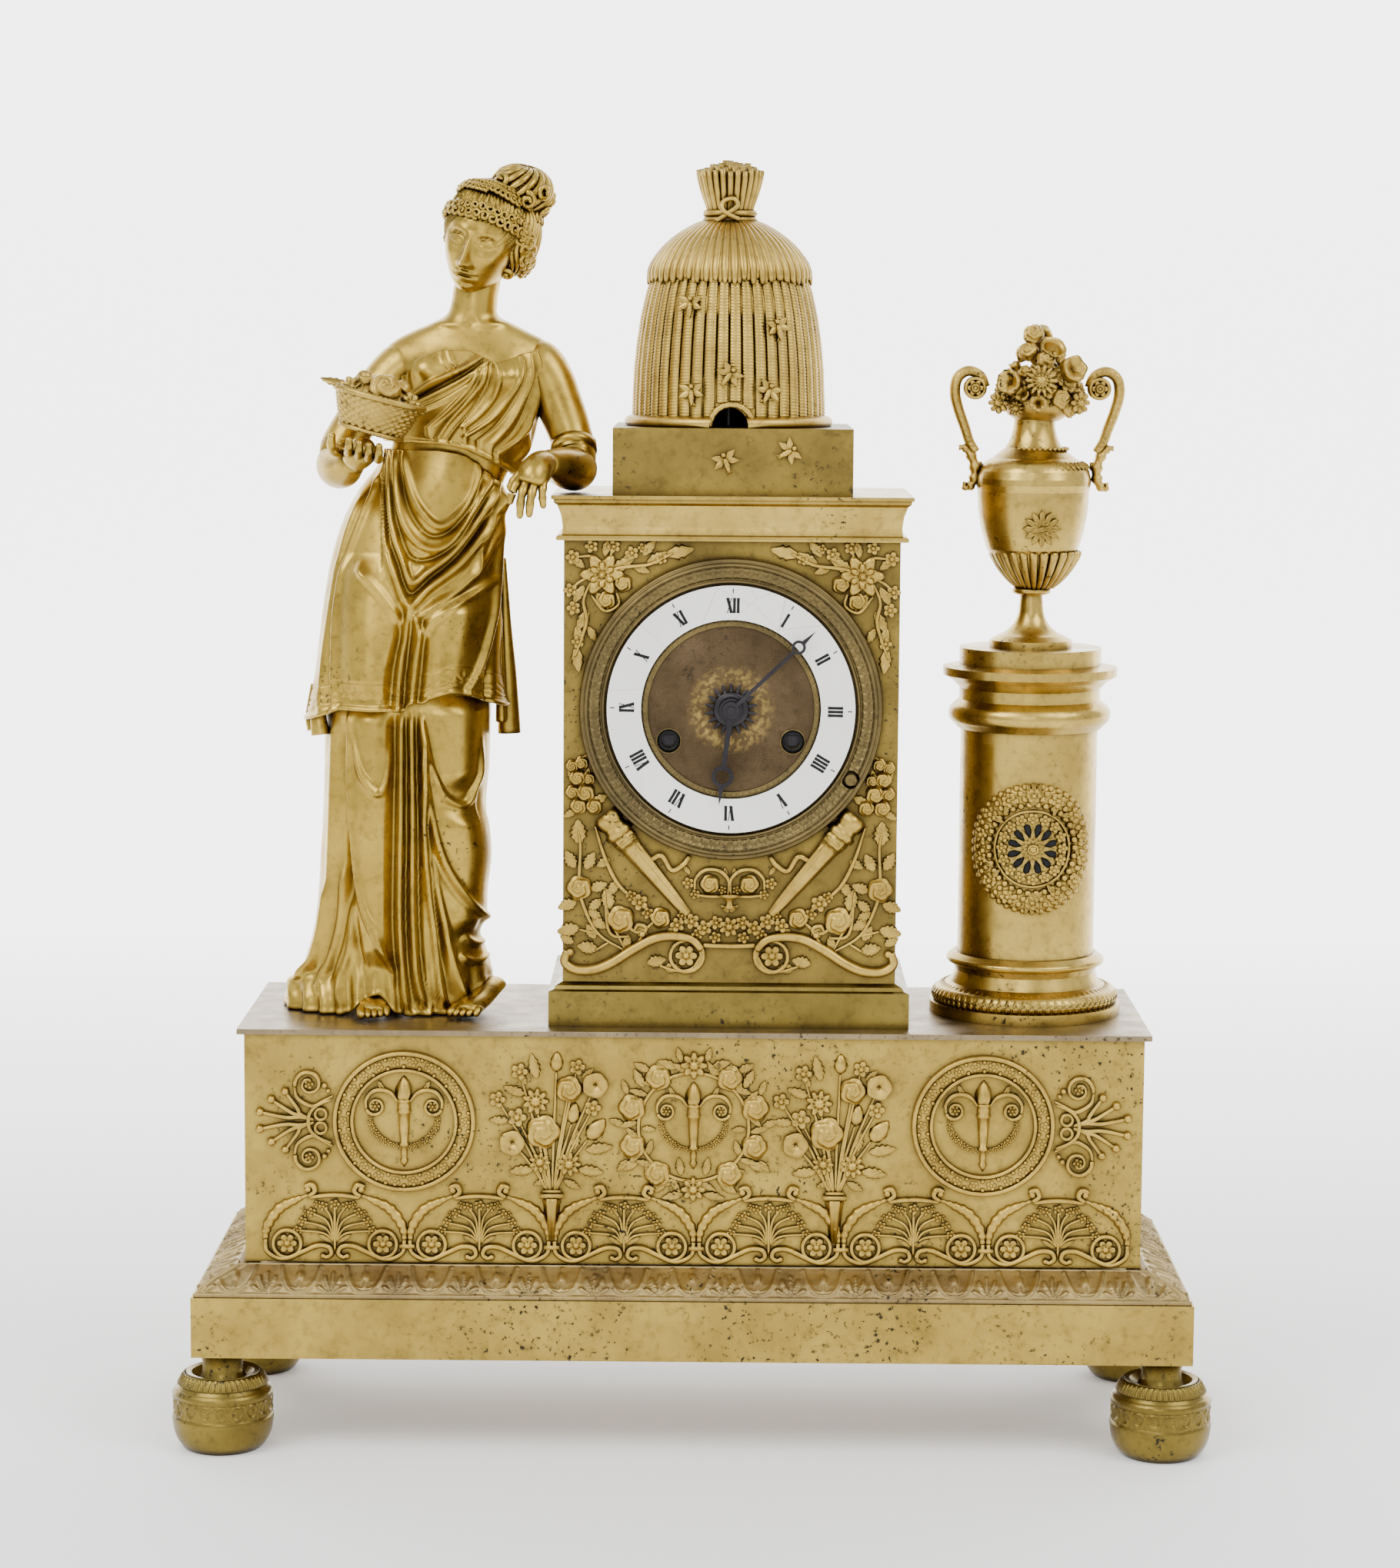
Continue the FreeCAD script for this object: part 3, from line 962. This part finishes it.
bezel_way = Part.makeCylinder((dim.bezel_radius + dim.fit_gap).number, dim.relief_depth.number * 2,
                              Vector(dim.case_x.number, case_front.number, dial_z.number),
                              Vector(0, -1, 0))
keep("case_flower_sprays", shaped("case_flower_sprays",
                                  Part.makeCompound([s.cut(bezel_way) for s in sprays])))
keep("case_torches", shaped("case_torches",
                            Part.makeCompound([t.cut(bezel_way).cut(scroll) for t in torches])))
keep("case_scrollwork", shaped("case_scrollwork", scroll.cut(bezel_way)))

# Column wreath: a ring with a flower in its middle, bent to the shaft by cutting its back
COLUMN_FLOWER_SHARES = tuple((0, 0, 0.12, 0.36 * math.cos(turn), 0.36 * math.sin(turn), 0.1)
                             for turn in [math.pi * step / 6 for step in range(12)])
SPOKE_SHARES = tuple((0.3 * math.cos(turn), 0.3 * math.sin(turn), 0.05,
                      0.8 * math.cos(turn), 0.8 * math.sin(turn), 0.05)
                     for turn in [math.pi * (2 * step + 1) / 4 for step in range(4)])
wreath_z = shaft_z + dim.shaft_height / 2
wreath_turn = Vector(0, -1, 0)
wreath_reach = dim.shaft_radius.number + dim.column_wreath_depth.number
wreath_size = dim.column_wreath_radius.number
axis_point = Vector(column_x.number, dim.column_y.number, wreath_z.number)
band = Part.makeCylinder(wreath_size, wreath_reach, axis_point, wreath_turn)
band = band.cut(Part.makeCylinder(wreath_size * 0.7, wreath_reach, axis_point, wreath_turn))
strokes = [stroke_solid(s, wreath_size, wreath_size, wreath_reach, 1)
           for s in COLUMN_FLOWER_SHARES + SPOKE_SHARES]
flower = strokes[0].multiFuse(strokes[1:])
flower.translate(axis_point)
wide = Part.makeCylinder(wreath_reach, wreath_size * 4, axis_point - Vector(0, 0, wreath_size * 2))
inside = Part.makeCylinder(dim.shaft_radius.number + dim.running_gap.number, wreath_size * 4,
                           axis_point - Vector(0, 0, wreath_size * 2))
column_wreath = band.fuse(flower).common(wide).cut(inside).removeSplitter()
keep("column_wreath", shaped("column_wreath", column_wreath))

# Dial: a gilt plate whose feet stand on the movement, an enamel ring on it, a bezel round both
dial_face = case_front - dim.dial_plate_thickness
chapter_face = dial_face - dim.chapter_thickness
pipe_hole = dim.hour_pipe_radius + dim.fit_gap
dial_plate_radius = dim.bezel_hole - dim.fit_gap
dial_disc = rod("dial_disc", on_dial((0, 0), case_front), dial_plate_radius,
                dim.dial_plate_thickness, "front")
dial_hub = rod("dial_hub", on_dial((0, 0), dial_face), dim.hub_radius, dim.hub_height, "front")
DIAL_FOOT_TURNS = (60, 180, 300)
dial_feet = [rod(f"dial_foot_{turn}",
                 on_dial(round_spot(dim.movement_hole - dim.dial_screw_head * 2, turn), movement_y),
                 dim.dial_screw_radius, dim.case_wall + dim.dial_plate_thickness / 2, "front")
             for turn in DIAL_FOOT_TURNS]
winding_holes = [rod(f"winding_hole_{word}", on_dial(spot, movement_y), dim.winding_hole_radius,
                     dim.case_wall * 2 + dim.overrun, "front")
                 for word, spot in (("going", going_spot), ("strike", strike_spot))]
dial_way = rod("dial_way", on_dial((0, 0), movement_y), pipe_hole, dim.case_wall * 3, "front")
keep("dial_plate", drilled("dial_plate", fused("dial_solid", dial_disc, dial_hub, *dial_feet),
                           dial_way, *winding_holes))
chapter_disc = rod("chapter_disc", on_dial((0, 0), dial_face), dim.chapter_radius,
                   dim.chapter_thickness, "front")
chapter_way = rod("chapter_way", on_dial((0, 0), case_front), dim.chapter_hole,
                  dim.case_wall * 2, "front")
keep("chapter_ring", drilled("chapter_ring", chapter_disc, chapter_way))
bezel_hole_share = dim.bezel_hole / dim.bezel_radius
BEZEL_WIDTH_SHARES = ((0, 0), (1, 0), (1, 0.3), (0.88, 0.77), (0.72, 1), (0.56, 0.86),
                      (0.4, 0.86), (0.12, 0.6), (0, 0.54))
BEZEL_SHARES = [(bezel_hole_share + (1 - bezel_hole_share) * across, up)
                for across, up in BEZEL_WIDTH_SHARES]
bezel_solid = turned("bezel_solid", BEZEL_SHARES, dim.bezel_radius, dim.bezel_depth,
                     on_dial((0, 0), case_front), "front")
bezel_screw_way = rod("bezel_screw_way", on_dial(bezel_screw_spot, case_front), screw_hole,
                      dim.bezel_depth + dim.overrun, "front")
bezel_screw_seat = rod("bezel_screw_seat",
                       on_dial(bezel_screw_spot, case_front - dim.bezel_depth / 2),
                       dim.dial_screw_head + dim.running_gap, dim.bezel_depth, "front")
keep("front_bezel", drilled("front_bezel", bezel_solid, bezel_screw_way, bezel_screw_seat))

# Screws: one in the bezel, and one by each ear of the movement's front plate
screws = [fused("bezel_screw",
                rod("bezel_shank", on_dial(bezel_screw_spot, case_front + screw_bite * 0.9),
                    dim.dial_screw_radius, screw_bite * 0.9 + dim.bezel_depth / 2, "front"),
                rod("bezel_head", on_dial(bezel_screw_spot, case_front - dim.bezel_depth / 2),
                    dim.dial_screw_head, dim.dial_screw_radius, "front"))]
for word, spot in screw_spots.items():
    shank = rod(f"shank_{word}", on_dial(spot, front_plate_back + dim.dial_screw_radius),
                dim.dial_screw_radius,
                dim.dial_screw_radius + dim.plate_thickness + screw_bite * 0.9, "front")
    screw_head = rod(f"screw_head_{word}", on_dial(spot, front_plate_back), dim.dial_screw_head,
                     dim.dial_screw_radius, "back")
    screws.append(fused(f"screw_{word}", shank, screw_head))
keep("dial_screws", fused("dial_screws", *screws))

# Movement plates. The arbors run in both; the pillars are riveted to the back plate
arbor_hole = dim.arbor_radius + dim.running_gap
thin_hole = dim.pinion_arbor_radius + dim.running_gap
winding_arbor_hole = dim.winding_arbor_radius + dim.running_gap
ARBOR_HOLES = {"centre": ((0, 0), arbor_hole), "going": (going_spot, winding_arbor_hole),
               "strike": (strike_spot, winding_arbor_hole), "count": (count_spot, thin_hole),
               "escape": (escape_spot, thin_hole), "anchor": (anchor_spot, thin_hole),
               "hammer": (hammer_spot, thin_hole)}
front_holes = [rod(f"front_hole_{word}", on_dial(spot, movement_y - dim.overrun), radius,
                   dim.plate_thickness + dim.overrun * 2, "back")
               for word, (spot, radius) in ARBOR_HOLES.items()]
front_holes += [rod(f"ear_hole_{word}", on_dial(spot, movement_y - dim.overrun), screw_hole,
                    dim.plate_thickness + dim.overrun * 2, "back")
                for word, spot in screw_spots.items()]
front_disc = rod("front_disc", on_dial((0, 0), movement_y), dim.plate_radius,
                 dim.plate_thickness, "back")
motion_stud = rod("motion_stud", on_dial(motion_spot, front_plate_back), dim.pinion_arbor_radius,
                  dim.plate_thickness + dim.case_wall - dim.wheel_gap, "front")
front_plate = fused("front_plate_solid", drilled("front_plate_disc", front_disc, *front_holes),
                    motion_stud)
keep("movement_front_plate", front_plate)
back_holes = [rod(f"back_hole_{word}", on_dial(spot, back_plate_front - dim.overrun), radius,
                  dim.plate_thickness + dim.overrun * 2, "back")
              for word, (spot, radius) in ARBOR_HOLES.items()]
back_disc = rod("back_disc", on_dial((0, 0), back_plate_front), dim.back_plate_radius,
                dim.plate_thickness, "back")
PILLAR_TURNS = (25, 60, 155, 205, 300, 335)
pillars = [rod(f"pillar_{turn}", on_dial(round_spot(dim.pillar_circle, turn), front_plate_back),
               dim.pillar_radius, dim.plate_gap + dim.plate_thickness, "back")
           for turn in PILLAR_TURNS]
# The back cock carries the pendulum's pivot pin; the bell stands on its own post
pendulum_y = back_plate_back + dim.pendulum_gap
cock_foot = block("cock_foot", (dim.case_x - dim.pillar_radius, back_plate_back - dim.overrun,
                                dial_z + dim.anchor_rise + dim.pillar_radius),
                  dim.pillar_radius * 2, dim.pendulum_gap + dim.pillar_radius + dim.overrun,
                  dim.plate_thickness)
cock_back = block("cock_back", (dim.case_x - dim.pillar_radius,
                                pendulum_y + dim.pillar_radius - dim.plate_thickness / 2,
                                dial_z + dim.anchor_rise - dim.pillar_radius),
                  dim.pillar_radius * 2, dim.plate_thickness,
                  dim.pillar_radius * 2 + dim.plate_thickness)
cock_pin = rod("cock_pin", on_dial(anchor_spot, pendulum_y - dim.pendulum_rod_radius * 2),
               dim.pendulum_rod_radius, dim.pillar_radius + dim.pendulum_rod_radius * 2, "back")
bell_y = pendulum_y + dim.bob_thickness
bell_post = rod("bell_post", on_dial(bell_spot, back_plate_back - dim.overrun),
                dim.arbor_radius, bell_y - back_plate_back + dim.bell_height + dim.overrun, "back")
back_plate = fused("back_plate_solid", drilled("back_plate_disc", back_disc, *back_holes),
                   *pillars, cock_foot, cock_back, cock_pin, bell_post)
keep("movement_back_plate", back_plate)

# Bell: a turned cup on the post, open to the front
bell_wall_share = dim.bell_wall / dim.bell_radius
post_share = (dim.arbor_radius + dim.running_gap) / dim.bell_radius
BELL_SHARES = ((1, 0), (0.9, 0.45, 0.1), (0.6, 0.86, 0.15), (post_share, 1),
               (post_share, 0.9), (0.57, 0.77, -0.15), (0.83, 0.42, -0.1), (0.94, 0))
keep("bell", turned("bell", BELL_SHARES, dim.bell_radius, dim.bell_height,
                    on_dial(bell_spot, bell_y), "back"))


def toothed(teeth, pitch_radius, thickness):
    """A wheel with slim teeth that run free in each other: its teeth stand half as high over the
    pitch circle as usual wheels' do, and fill under half of the pitch."""
    module = 2 * pitch_radius / teeth
    tip, root = pitch_radius + module * 0.38, pitch_radius - module * 0.75
    wide, narrow = math.pi * 0.36 / teeth, math.pi * 0.17 / teeth
    points = []
    for tooth in range(teeth):
        turn = 2 * math.pi * tooth / teeth
        for radius, lean in ((root, -wide), (tip, -narrow), (tip, narrow), (root, wide)):
            points.append(Vector(math.cos(turn + lean) * radius, math.sin(turn + lean) * radius, 0))
    return Part.Face(Part.makePolygon(points + points[:1])).extrude(Vector(0, 0, thickness))


def spoked(wheel, outer, inner, thickness, arms=5, arm_share=0.16):
    """A wheel with the spaces between its arms cut out."""
    space = Part.makeCylinder(outer, thickness).cut(Part.makeCylinder(inner, thickness))
    for arm in range(arms):
        bar = Part.makeBox(outer * 2, outer * arm_share, thickness, Vector(0, -outer * arm_share / 2, 0))
        bar.rotate(Vector(0, 0, 0), Vector(0, 0, 1), 360 * arm / arms)
        space = space.cut(bar)
    return wheel.cut(space)


# Train. All wheels are drawn facing back, from the front plate towards the back plate
GREAT_TEETH, CENTRE_TEETH, CENTRE_WHEEL_TEETH = 72, 18, 80
CANNON_TEETH, MOTION_TEETH, MOTION_LEAVES, HOUR_TEETH = 12, 36, 10, 40
thick, gap = dim.wheel_thickness.number, dim.wheel_gap.number
distance = train_distance.number
great_pitch = distance * GREAT_TEETH / (GREAT_TEETH + CENTRE_TEETH)
pinion_pitch = distance - great_pitch
centre_wheel_y = front_plate_back + dim.wheel_gap
barrel_y = centre_wheel_y + dim.wheel_thickness + dim.wheel_gap
going_great_y = barrel_y + dim.barrel_height
strike_great_y = going_great_y + dim.wheel_thickness + dim.wheel_gap
strike_hub_end = strike_great_y + dim.wheel_thickness
motion_back_y = movement_y - dim.wheel_gap
motion_front_y = motion_back_y - dim.wheel_thickness - dim.wheel_gap


def feature_on_dial(name, shape, spot, y, facing="back"):
    """A free shape with its axis on one of the movement's arbors."""
    return shaped(name, shape, on_dial(spot, y), facing)


def phased(wheel, toward, tooth_teeth, on_space):
    """Turns a wheel so that a tooth, or the space beside it, points along an angle."""
    half_step = 180 / tooth_teeth if on_space else 0
    wheel.rotate(Vector(0, 0, 0), Vector(0, 0, 1), toward + half_step)
    return wheel


def bearing(start, end):
    """The angle in degrees from one arbor to another, drawn facing back."""
    across = as_size(end[0]).number - as_size(start[0]).number
    up = as_size(end[1]).number - as_size(start[1]).number
    return -math.degrees(math.atan2(up, across))


def great_wheel(spot, target):
    """A barrel's great wheel with a tooth toward the pinion that it drives."""
    wheel = spoked(toothed(GREAT_TEETH, great_pitch, thick), great_pitch * 0.86,
                   great_pitch * 0.5, thick)
    return phased(wheel, bearing(spot, target), GREAT_TEETH, False)


def barrel(name, spot, great_y, hub_end, target):
    """A spring drum with its great wheel on a hub, all bored for the winding arbor."""
    drum = Part.makeCylinder(dim.barrel_radius.number, dim.barrel_height.number)
    hub = Part.makeCylinder(great_pitch * 0.5, (hub_end - barrel_y).number)
    wheel = great_wheel(spot, target)
    wheel.translate(Vector(0, 0, (great_y - barrel_y).number))
    bore = Part.makeCylinder((dim.winding_arbor_radius + dim.running_gap).number,
                             (hub_end - barrel_y).number)
    solid = drum.multiFuse([hub, wheel]).cut(bore).removeSplitter()
    keep(name, feature_on_dial(name, solid, spot, barrel_y))


barrel("going_barrel", going_spot, going_great_y, going_great_y + dim.wheel_thickness, (0, 0))
barrel("strike_barrel", strike_spot, strike_great_y, strike_hub_end, count_spot)
winding_end = movement_y - dim.winding_square_length
back_reach = back_plate_back - movement_y
for name, spot in (("going_arbor", going_spot), ("strike_arbor", strike_spot)):
    arbor = rod(name + "_round", on_dial(spot, movement_y), dim.winding_arbor_radius, back_reach,
                "back")
    half = dim.winding_square / 2
    square = block(name + "_square", (dim.case_x + spot[0] - half, winding_end,
                                      dial_z + spot[1] - half),
                   dim.winding_square, movement_y - winding_end, dim.winding_square)
    keep(name, fused(name, arbor, square))

# Centre arbor: pinion at the back, centre wheel in front, and the cannon that carries the hand
hand_y = chapter_face - dim.hand_gap
hour_hand_front = hand_y - dim.hand_thickness
minute_hand_back = hour_hand_front - dim.hand_gap
minute_hand_front = minute_hand_back - dim.hand_thickness
arbor_front = minute_hand_front - dim.hand_thickness
centre_shape = Part.makeCylinder(dim.arbor_radius.number, (back_plate_back - arbor_front).number)
centre_pinion = phased(toothed(CENTRE_TEETH, pinion_pitch, thick), bearing((0, 0), going_spot),
                       CENTRE_TEETH, True)
centre_pinion.translate(Vector(0, 0, (going_great_y - arbor_front).number))
centre_wheel = spoked(toothed(CENTRE_WHEEL_TEETH, dim.centre_wheel_radius.number, thick),
                      dim.centre_wheel_radius.number * 0.86, dim.centre_wheel_radius.number * 0.25,
                      thick)
centre_wheel.translate(Vector(0, 0, (centre_wheel_y - arbor_front).number))
motion_distance = dim.motion_distance.number
cannon_pitch = motion_distance * CANNON_TEETH / (CANNON_TEETH + MOTION_TEETH)
motion_pitch = motion_distance - cannon_pitch
leaf_pitch = motion_distance * MOTION_LEAVES / (MOTION_LEAVES + HOUR_TEETH)
hour_pitch = motion_distance - leaf_pitch
cannon_pinion = phased(toothed(CANNON_TEETH, cannon_pitch, thick), bearing((0, 0), motion_spot),
                       CANNON_TEETH, True)
cannon_pinion.translate(Vector(0, 0, (motion_back_y - dim.wheel_thickness - arbor_front).number))
cannon_pipe = Part.makeCylinder(dim.cannon_radius.number,
                                (motion_back_y - arbor_front - dim.hand_thickness).number,
                                Vector(0, 0, dim.hand_thickness.number))
centre_shape = centre_shape.multiFuse([centre_pinion, centre_wheel, cannon_pinion, cannon_pipe])
keep("centre_arbor", feature_on_dial("centre_arbor", centre_shape.removeSplitter(), (0, 0),
                                     arbor_front))

# Motion wheel: driven by the cannon pinion behind, its leaves drive the hour wheel in front
motion_wheel = phased(toothed(MOTION_TEETH, motion_pitch, thick), bearing(motion_spot, (0, 0)),
                      MOTION_TEETH, False)
motion_leaves = phased(toothed(MOTION_LEAVES, leaf_pitch, thick), bearing(motion_spot, (0, 0)),
                       MOTION_LEAVES, True)
motion_leaves.translate(Vector(0, 0, -thick - gap))
motion_sleeve = Part.makeCylinder(leaf_pitch * 0.85, thick * 2 + gap, Vector(0, 0, -thick - gap))
motion_bore = Part.makeCylinder((dim.pinion_arbor_radius + dim.running_gap).number,
                                thick * 3 + gap, Vector(0, 0, -thick * 1.5 - gap))
motion_shape = motion_wheel.multiFuse([motion_leaves, motion_sleeve]).cut(motion_bore)
keep("motion_wheel", feature_on_dial("motion_wheel", motion_shape.removeSplitter(), motion_spot,
                                     motion_back_y - dim.wheel_thickness))

# Hour wheel with its pipe, and the two hands
hour_bore = (dim.cannon_radius + dim.running_gap).number
hour_pipe_length = (motion_front_y - hour_hand_front).number
hour_wheel = phased(toothed(HOUR_TEETH, hour_pitch, thick), bearing((0, 0), motion_spot),
                    HOUR_TEETH, False)
hour_wheel.translate(Vector(0, 0, hour_pipe_length - thick))
hour_pipe = Part.makeCylinder(dim.hour_pipe_radius.number, hour_pipe_length)
hour_shape = hour_pipe.fuse(hour_wheel).cut(Part.makeCylinder(hour_bore, hour_pipe_length))
keep("hour_wheel", feature_on_dial("hour_wheel", hour_shape.removeSplitter(), (0, 0),
                                   hour_hand_front))


def hand_shape(length, ring_at, ring_radius, boss, bore):
    """A slim hand with an open ring near its tip, drawn pointing up."""
    slim = boss * 0.22
    bar = Part.makeBox(slim * 2, ring_at - ring_radius * 0.5, 1, Vector(-slim, 0, 0))
    outer = Part.makeCylinder(ring_radius, 1, Vector(0, ring_at, 0))
    inner = Part.makeCylinder(ring_radius * 0.62, 1, Vector(0, ring_at, 0))
    tip_points = [Vector(-slim * 1.3, ring_at + ring_radius * 0.7, 0), Vector(0, length, 0),
                  Vector(slim * 1.3, ring_at + ring_radius * 0.7, 0)]
    tip = Part.Face(Part.makePolygon(tip_points + tip_points[:1])).extrude(Vector(0, 0, 1))
    disc = Part.makeCylinder(boss, 1)
    shape = bar.multiFuse([outer, tip]).cut(inner).fuse(disc).cut(Part.makeCylinder(bore, 1))
    scale = FreeCAD.Matrix()
    scale.scale(1, 1, dim.hand_thickness.number)
    return shape.transformGeometry(scale).removeSplitter()


def hand(name, shape, y, degrees):
    """A hand on the dial, turned clockwise from twelve."""
    feature = shaped(name, shape, on_dial((0, 0), y), "front")
    turn = Rotation(Vector(0, 1, 0), degrees)
    feature.Placement.Rotation = turn.multiply(FACING["front"])
    return keep(name, feature)


hour_boss, minute_boss = dim.hour_pipe_radius.number * 1.5, dim.cannon_radius.number * 1.6
hand("hour_hand", hand_shape(dim.hour_length.number, dim.hour_ring.number,
                             dim.hour_ring_radius.number, hour_boss, dim.hour_pipe_radius.number),
     hand_y, dim.hour_angle.number)
hand("minute_hand", hand_shape(dim.minute_length.number, dim.minute_ring.number,
                               dim.minute_ring_radius.number, minute_boss,
                               dim.cannon_radius.number), minute_hand_back, dim.minute_angle.number)

# Strike side: the count wheel behind the back plate is driven by the strike barrel
count_pinion = phased(toothed(CENTRE_TEETH, pinion_pitch, thick), bearing(count_spot, strike_spot),
                      CENTRE_TEETH, True)
count_pinion.translate(Vector(0, 0, (strike_great_y - front_plate_back).number))
count_back = (back_plate_back - front_plate_back).number
count_disc = Part.makeCylinder(dim.count_radius.number, thick, Vector(0, 0, count_back + gap))
COUNT_STEPS = (0, 12, 36, 72, 120, 180, 252)
for turn in COUNT_STEPS:
    notch = Part.makeBox(dim.count_radius.number, dim.count_notch.number, thick,
                         Vector(dim.count_radius.number * 0.86, -dim.count_notch.number / 2,
                                count_back + gap))
    notch.rotate(Vector(0, 0, 0), Vector(0, 0, 1), turn)
    count_disc = count_disc.cut(notch)
count_arbor = Part.makeCylinder(dim.pinion_arbor_radius.number,
                                count_back + gap + thick + dim.plate_thickness.number,
                                Vector(0, 0, -dim.plate_thickness.number))
count_shape = count_arbor.multiFuse([count_pinion, count_disc]).removeSplitter()
keep("count_wheel", feature_on_dial("count_wheel", count_shape, count_spot, front_plate_back))

# Escape wheel: long raked teeth; its arbor runs in both plates
ESCAPE_TEETH = 30
escape_y = barrel_y + dim.barrel_height * 0.7
escape_size = dim.escape_radius.number
escape_points = []
for tooth in range(ESCAPE_TEETH):
    turn = 2 * math.pi * tooth / ESCAPE_TEETH
    step = 2 * math.pi / ESCAPE_TEETH
    for radius, lean in ((escape_size * 0.82, -0.3), (escape_size, 0.1), (escape_size, 0.18),
                         (escape_size * 0.82, 0.3)):
        escape_points.append(Vector(math.cos(turn + lean * step) * radius,
                                    math.sin(turn + lean * step) * radius, 0))
escape_face = Part.Face(Part.makePolygon(escape_points + escape_points[:1]))
escape_wheel = spoked(escape_face.extrude(Vector(0, 0, thick)), escape_size * 0.7,
                      escape_size * 0.28, thick)
escape_wheel.translate(Vector(0, 0, (escape_y - movement_y).number))
escape_arbor = Part.makeCylinder(dim.pinion_arbor_radius.number, back_reach.number)
keep("escape_wheel", feature_on_dial("escape_wheel",
                                     escape_arbor.fuse(escape_wheel).removeSplitter(),
                                     escape_spot, movement_y))

# Pallet anchor: arms over the escape wheel, and a crutch behind whose fork holds the pendulum
ANCHOR_SHARES = ((0, 0, 0.22, -0.72, -0.39, 0.1), (0, 0, 0.22, 0.72, -0.39, 0.1),
                 (-0.72, -0.39, 0.1, -0.8, -0.47, 0.07), (0.72, -0.39, 0.1, 0.8, -0.47, 0.07))
anchor_reach = (dim.anchor_rise - dim.escape_rise).number
anchor_arms = [stroke_solid(s, anchor_reach, anchor_reach, thick, 1) for s in ANCHOR_SHARES]
anchor_plate = anchor_arms[0].multiFuse(anchor_arms[1:])
anchor_plate.translate(Vector(0, (escape_y - movement_y).number + thick, 0))
crutch_y = (back_plate_back - movement_y + dim.wheel_gap).number
rod_size = dim.pendulum_rod_radius.number
crutch_length = dim.crutch_length.number
arbor_length = crutch_y + rod_size * 2
anchor_arbor = Part.makeCylinder(dim.pinion_arbor_radius.number, arbor_length, Vector(0, 0, 0),
                                 Vector(0, 1, 0))
fork_gap = rod_size + dim.running_gap.number * 2
crutch = Part.makeBox(rod_size * 2, rod_size * 1.5, crutch_length,
                      Vector(-rod_size, crutch_y, -crutch_length))
crutch_yoke = Part.makeBox((fork_gap + rod_size * 1.5) * 2, rod_size * 1.5, rod_size * 2,
                           Vector(-fork_gap - rod_size * 1.5, crutch_y, -crutch_length))
fork_length = (pendulum_y - back_plate_back).number + rod_size * 2 - dim.wheel_gap.number
prongs = [Part.makeBox(rod_size * 1.5, fork_length, rod_size * 2,
                       Vector(x, crutch_y, -crutch_length))
          for x in (fork_gap, -fork_gap - rod_size * 1.5)]
anchor_shape = anchor_plate.multiFuse([anchor_arbor, crutch, crutch_yoke] + prongs)
keep("pallet_anchor", shaped("pallet_anchor", anchor_shape.removeSplitter(),
                             on_dial(anchor_spot, movement_y)))

# Pendulum: an eye on the cock's pin, a rod and a lens-shaped bob
eye_bore = rod_size + dim.running_gap.number
eye_size = rod_size * 2.2
eye_length = rod_size * 2.5
eye = Part.makeCylinder(eye_size, eye_length, Vector(0, -eye_length / 2, 0), Vector(0, 1, 0))
pendulum_length = (dial_z + dim.anchor_rise - dim.bob_radius - dim.pendulum_foot_gap
                   - case_z).number
pendulum_rod = Part.makeCylinder(rod_size, pendulum_length, Vector(0, 0, 0),
                                 Vector(0, 0, -1))
bob_size, bob_thick = dim.bob_radius.number, dim.bob_thickness.number
lens_radius = (bob_size ** 2 + (bob_thick / 2) ** 2) / bob_thick
lens_back = lens_radius - bob_thick / 2
bob = ball(Vector(0, lens_back, 0), lens_radius).common(ball(Vector(0, -lens_back, 0), lens_radius))
bob.translate(Vector(0, 0, -pendulum_length))
eye_way = Part.makeCylinder(eye_bore, eye_length * 2, Vector(0, -eye_length, 0), Vector(0, 1, 0))
pendulum = pendulum_rod.multiFuse([eye, bob]).cut(eye_way).removeSplitter()
keep("pendulum", shaped("pendulum", pendulum, on_dial(anchor_spot, pendulum_y)))

# Hammer: an arbor through both plates, a stem and a head beside the bell's rim
head_size = dim.hammer_head_radius.number
hammer_y = (bell_y - movement_y).number
hammer_arbor = Part.makeCylinder(dim.pinion_arbor_radius.number, hammer_y + head_size * 2,
                                 Vector(0, 0, 0), Vector(0, 1, 0))
head_x = (dim.bell_x + dim.bell_radius - dim.hammer_x).number + head_size + dim.fit_gap.number
head_z = (dim.hammer_drop - dim.bell_drop).number
hammer_head = Part.makeCylinder(head_size, head_size * 2, Vector(head_x, hammer_y, head_z),
                                Vector(0, 1, 0))
hammer_stem = stroke_solid((0, 0, head_size * 0.9, head_x, head_z, head_size * 0.5), 1, 1,
                           head_size, 1)
hammer_stem.translate(Vector(0, hammer_y + head_size * 2, 0))
hammer = hammer_arbor.multiFuse([hammer_head, hammer_stem]).removeSplitter()
keep("hammer", shaped("hammer", hammer, on_dial(hammer_spot, movement_y)))

# Build, look for failures, and write one file for each sub-part
doc.recompute()
faults = [thing.Name for thing in doc.Objects
          if "Invalid" in thing.State or "Error" in thing.State]
for name, thing in subparts.items():
    if thing.Shape.isNull() or not thing.Shape.isValid() or thing.Shape.Volume <= 0:
        faults.append(name)
if faults:
    raise SystemExit("these did not build: " + ", ".join(sorted(set(faults))))
os.makedirs("parts", exist_ok=True)
for name, thing in subparts.items():
    thing.Shape.exportStep(f"parts/{name}.step")
    solids = len(thing.Shape.Solids)
    print(f"{name}: {solids} solid(s), {thing.Shape.Volume:.1f} mm3")
print(len(subparts), "sub-parts")
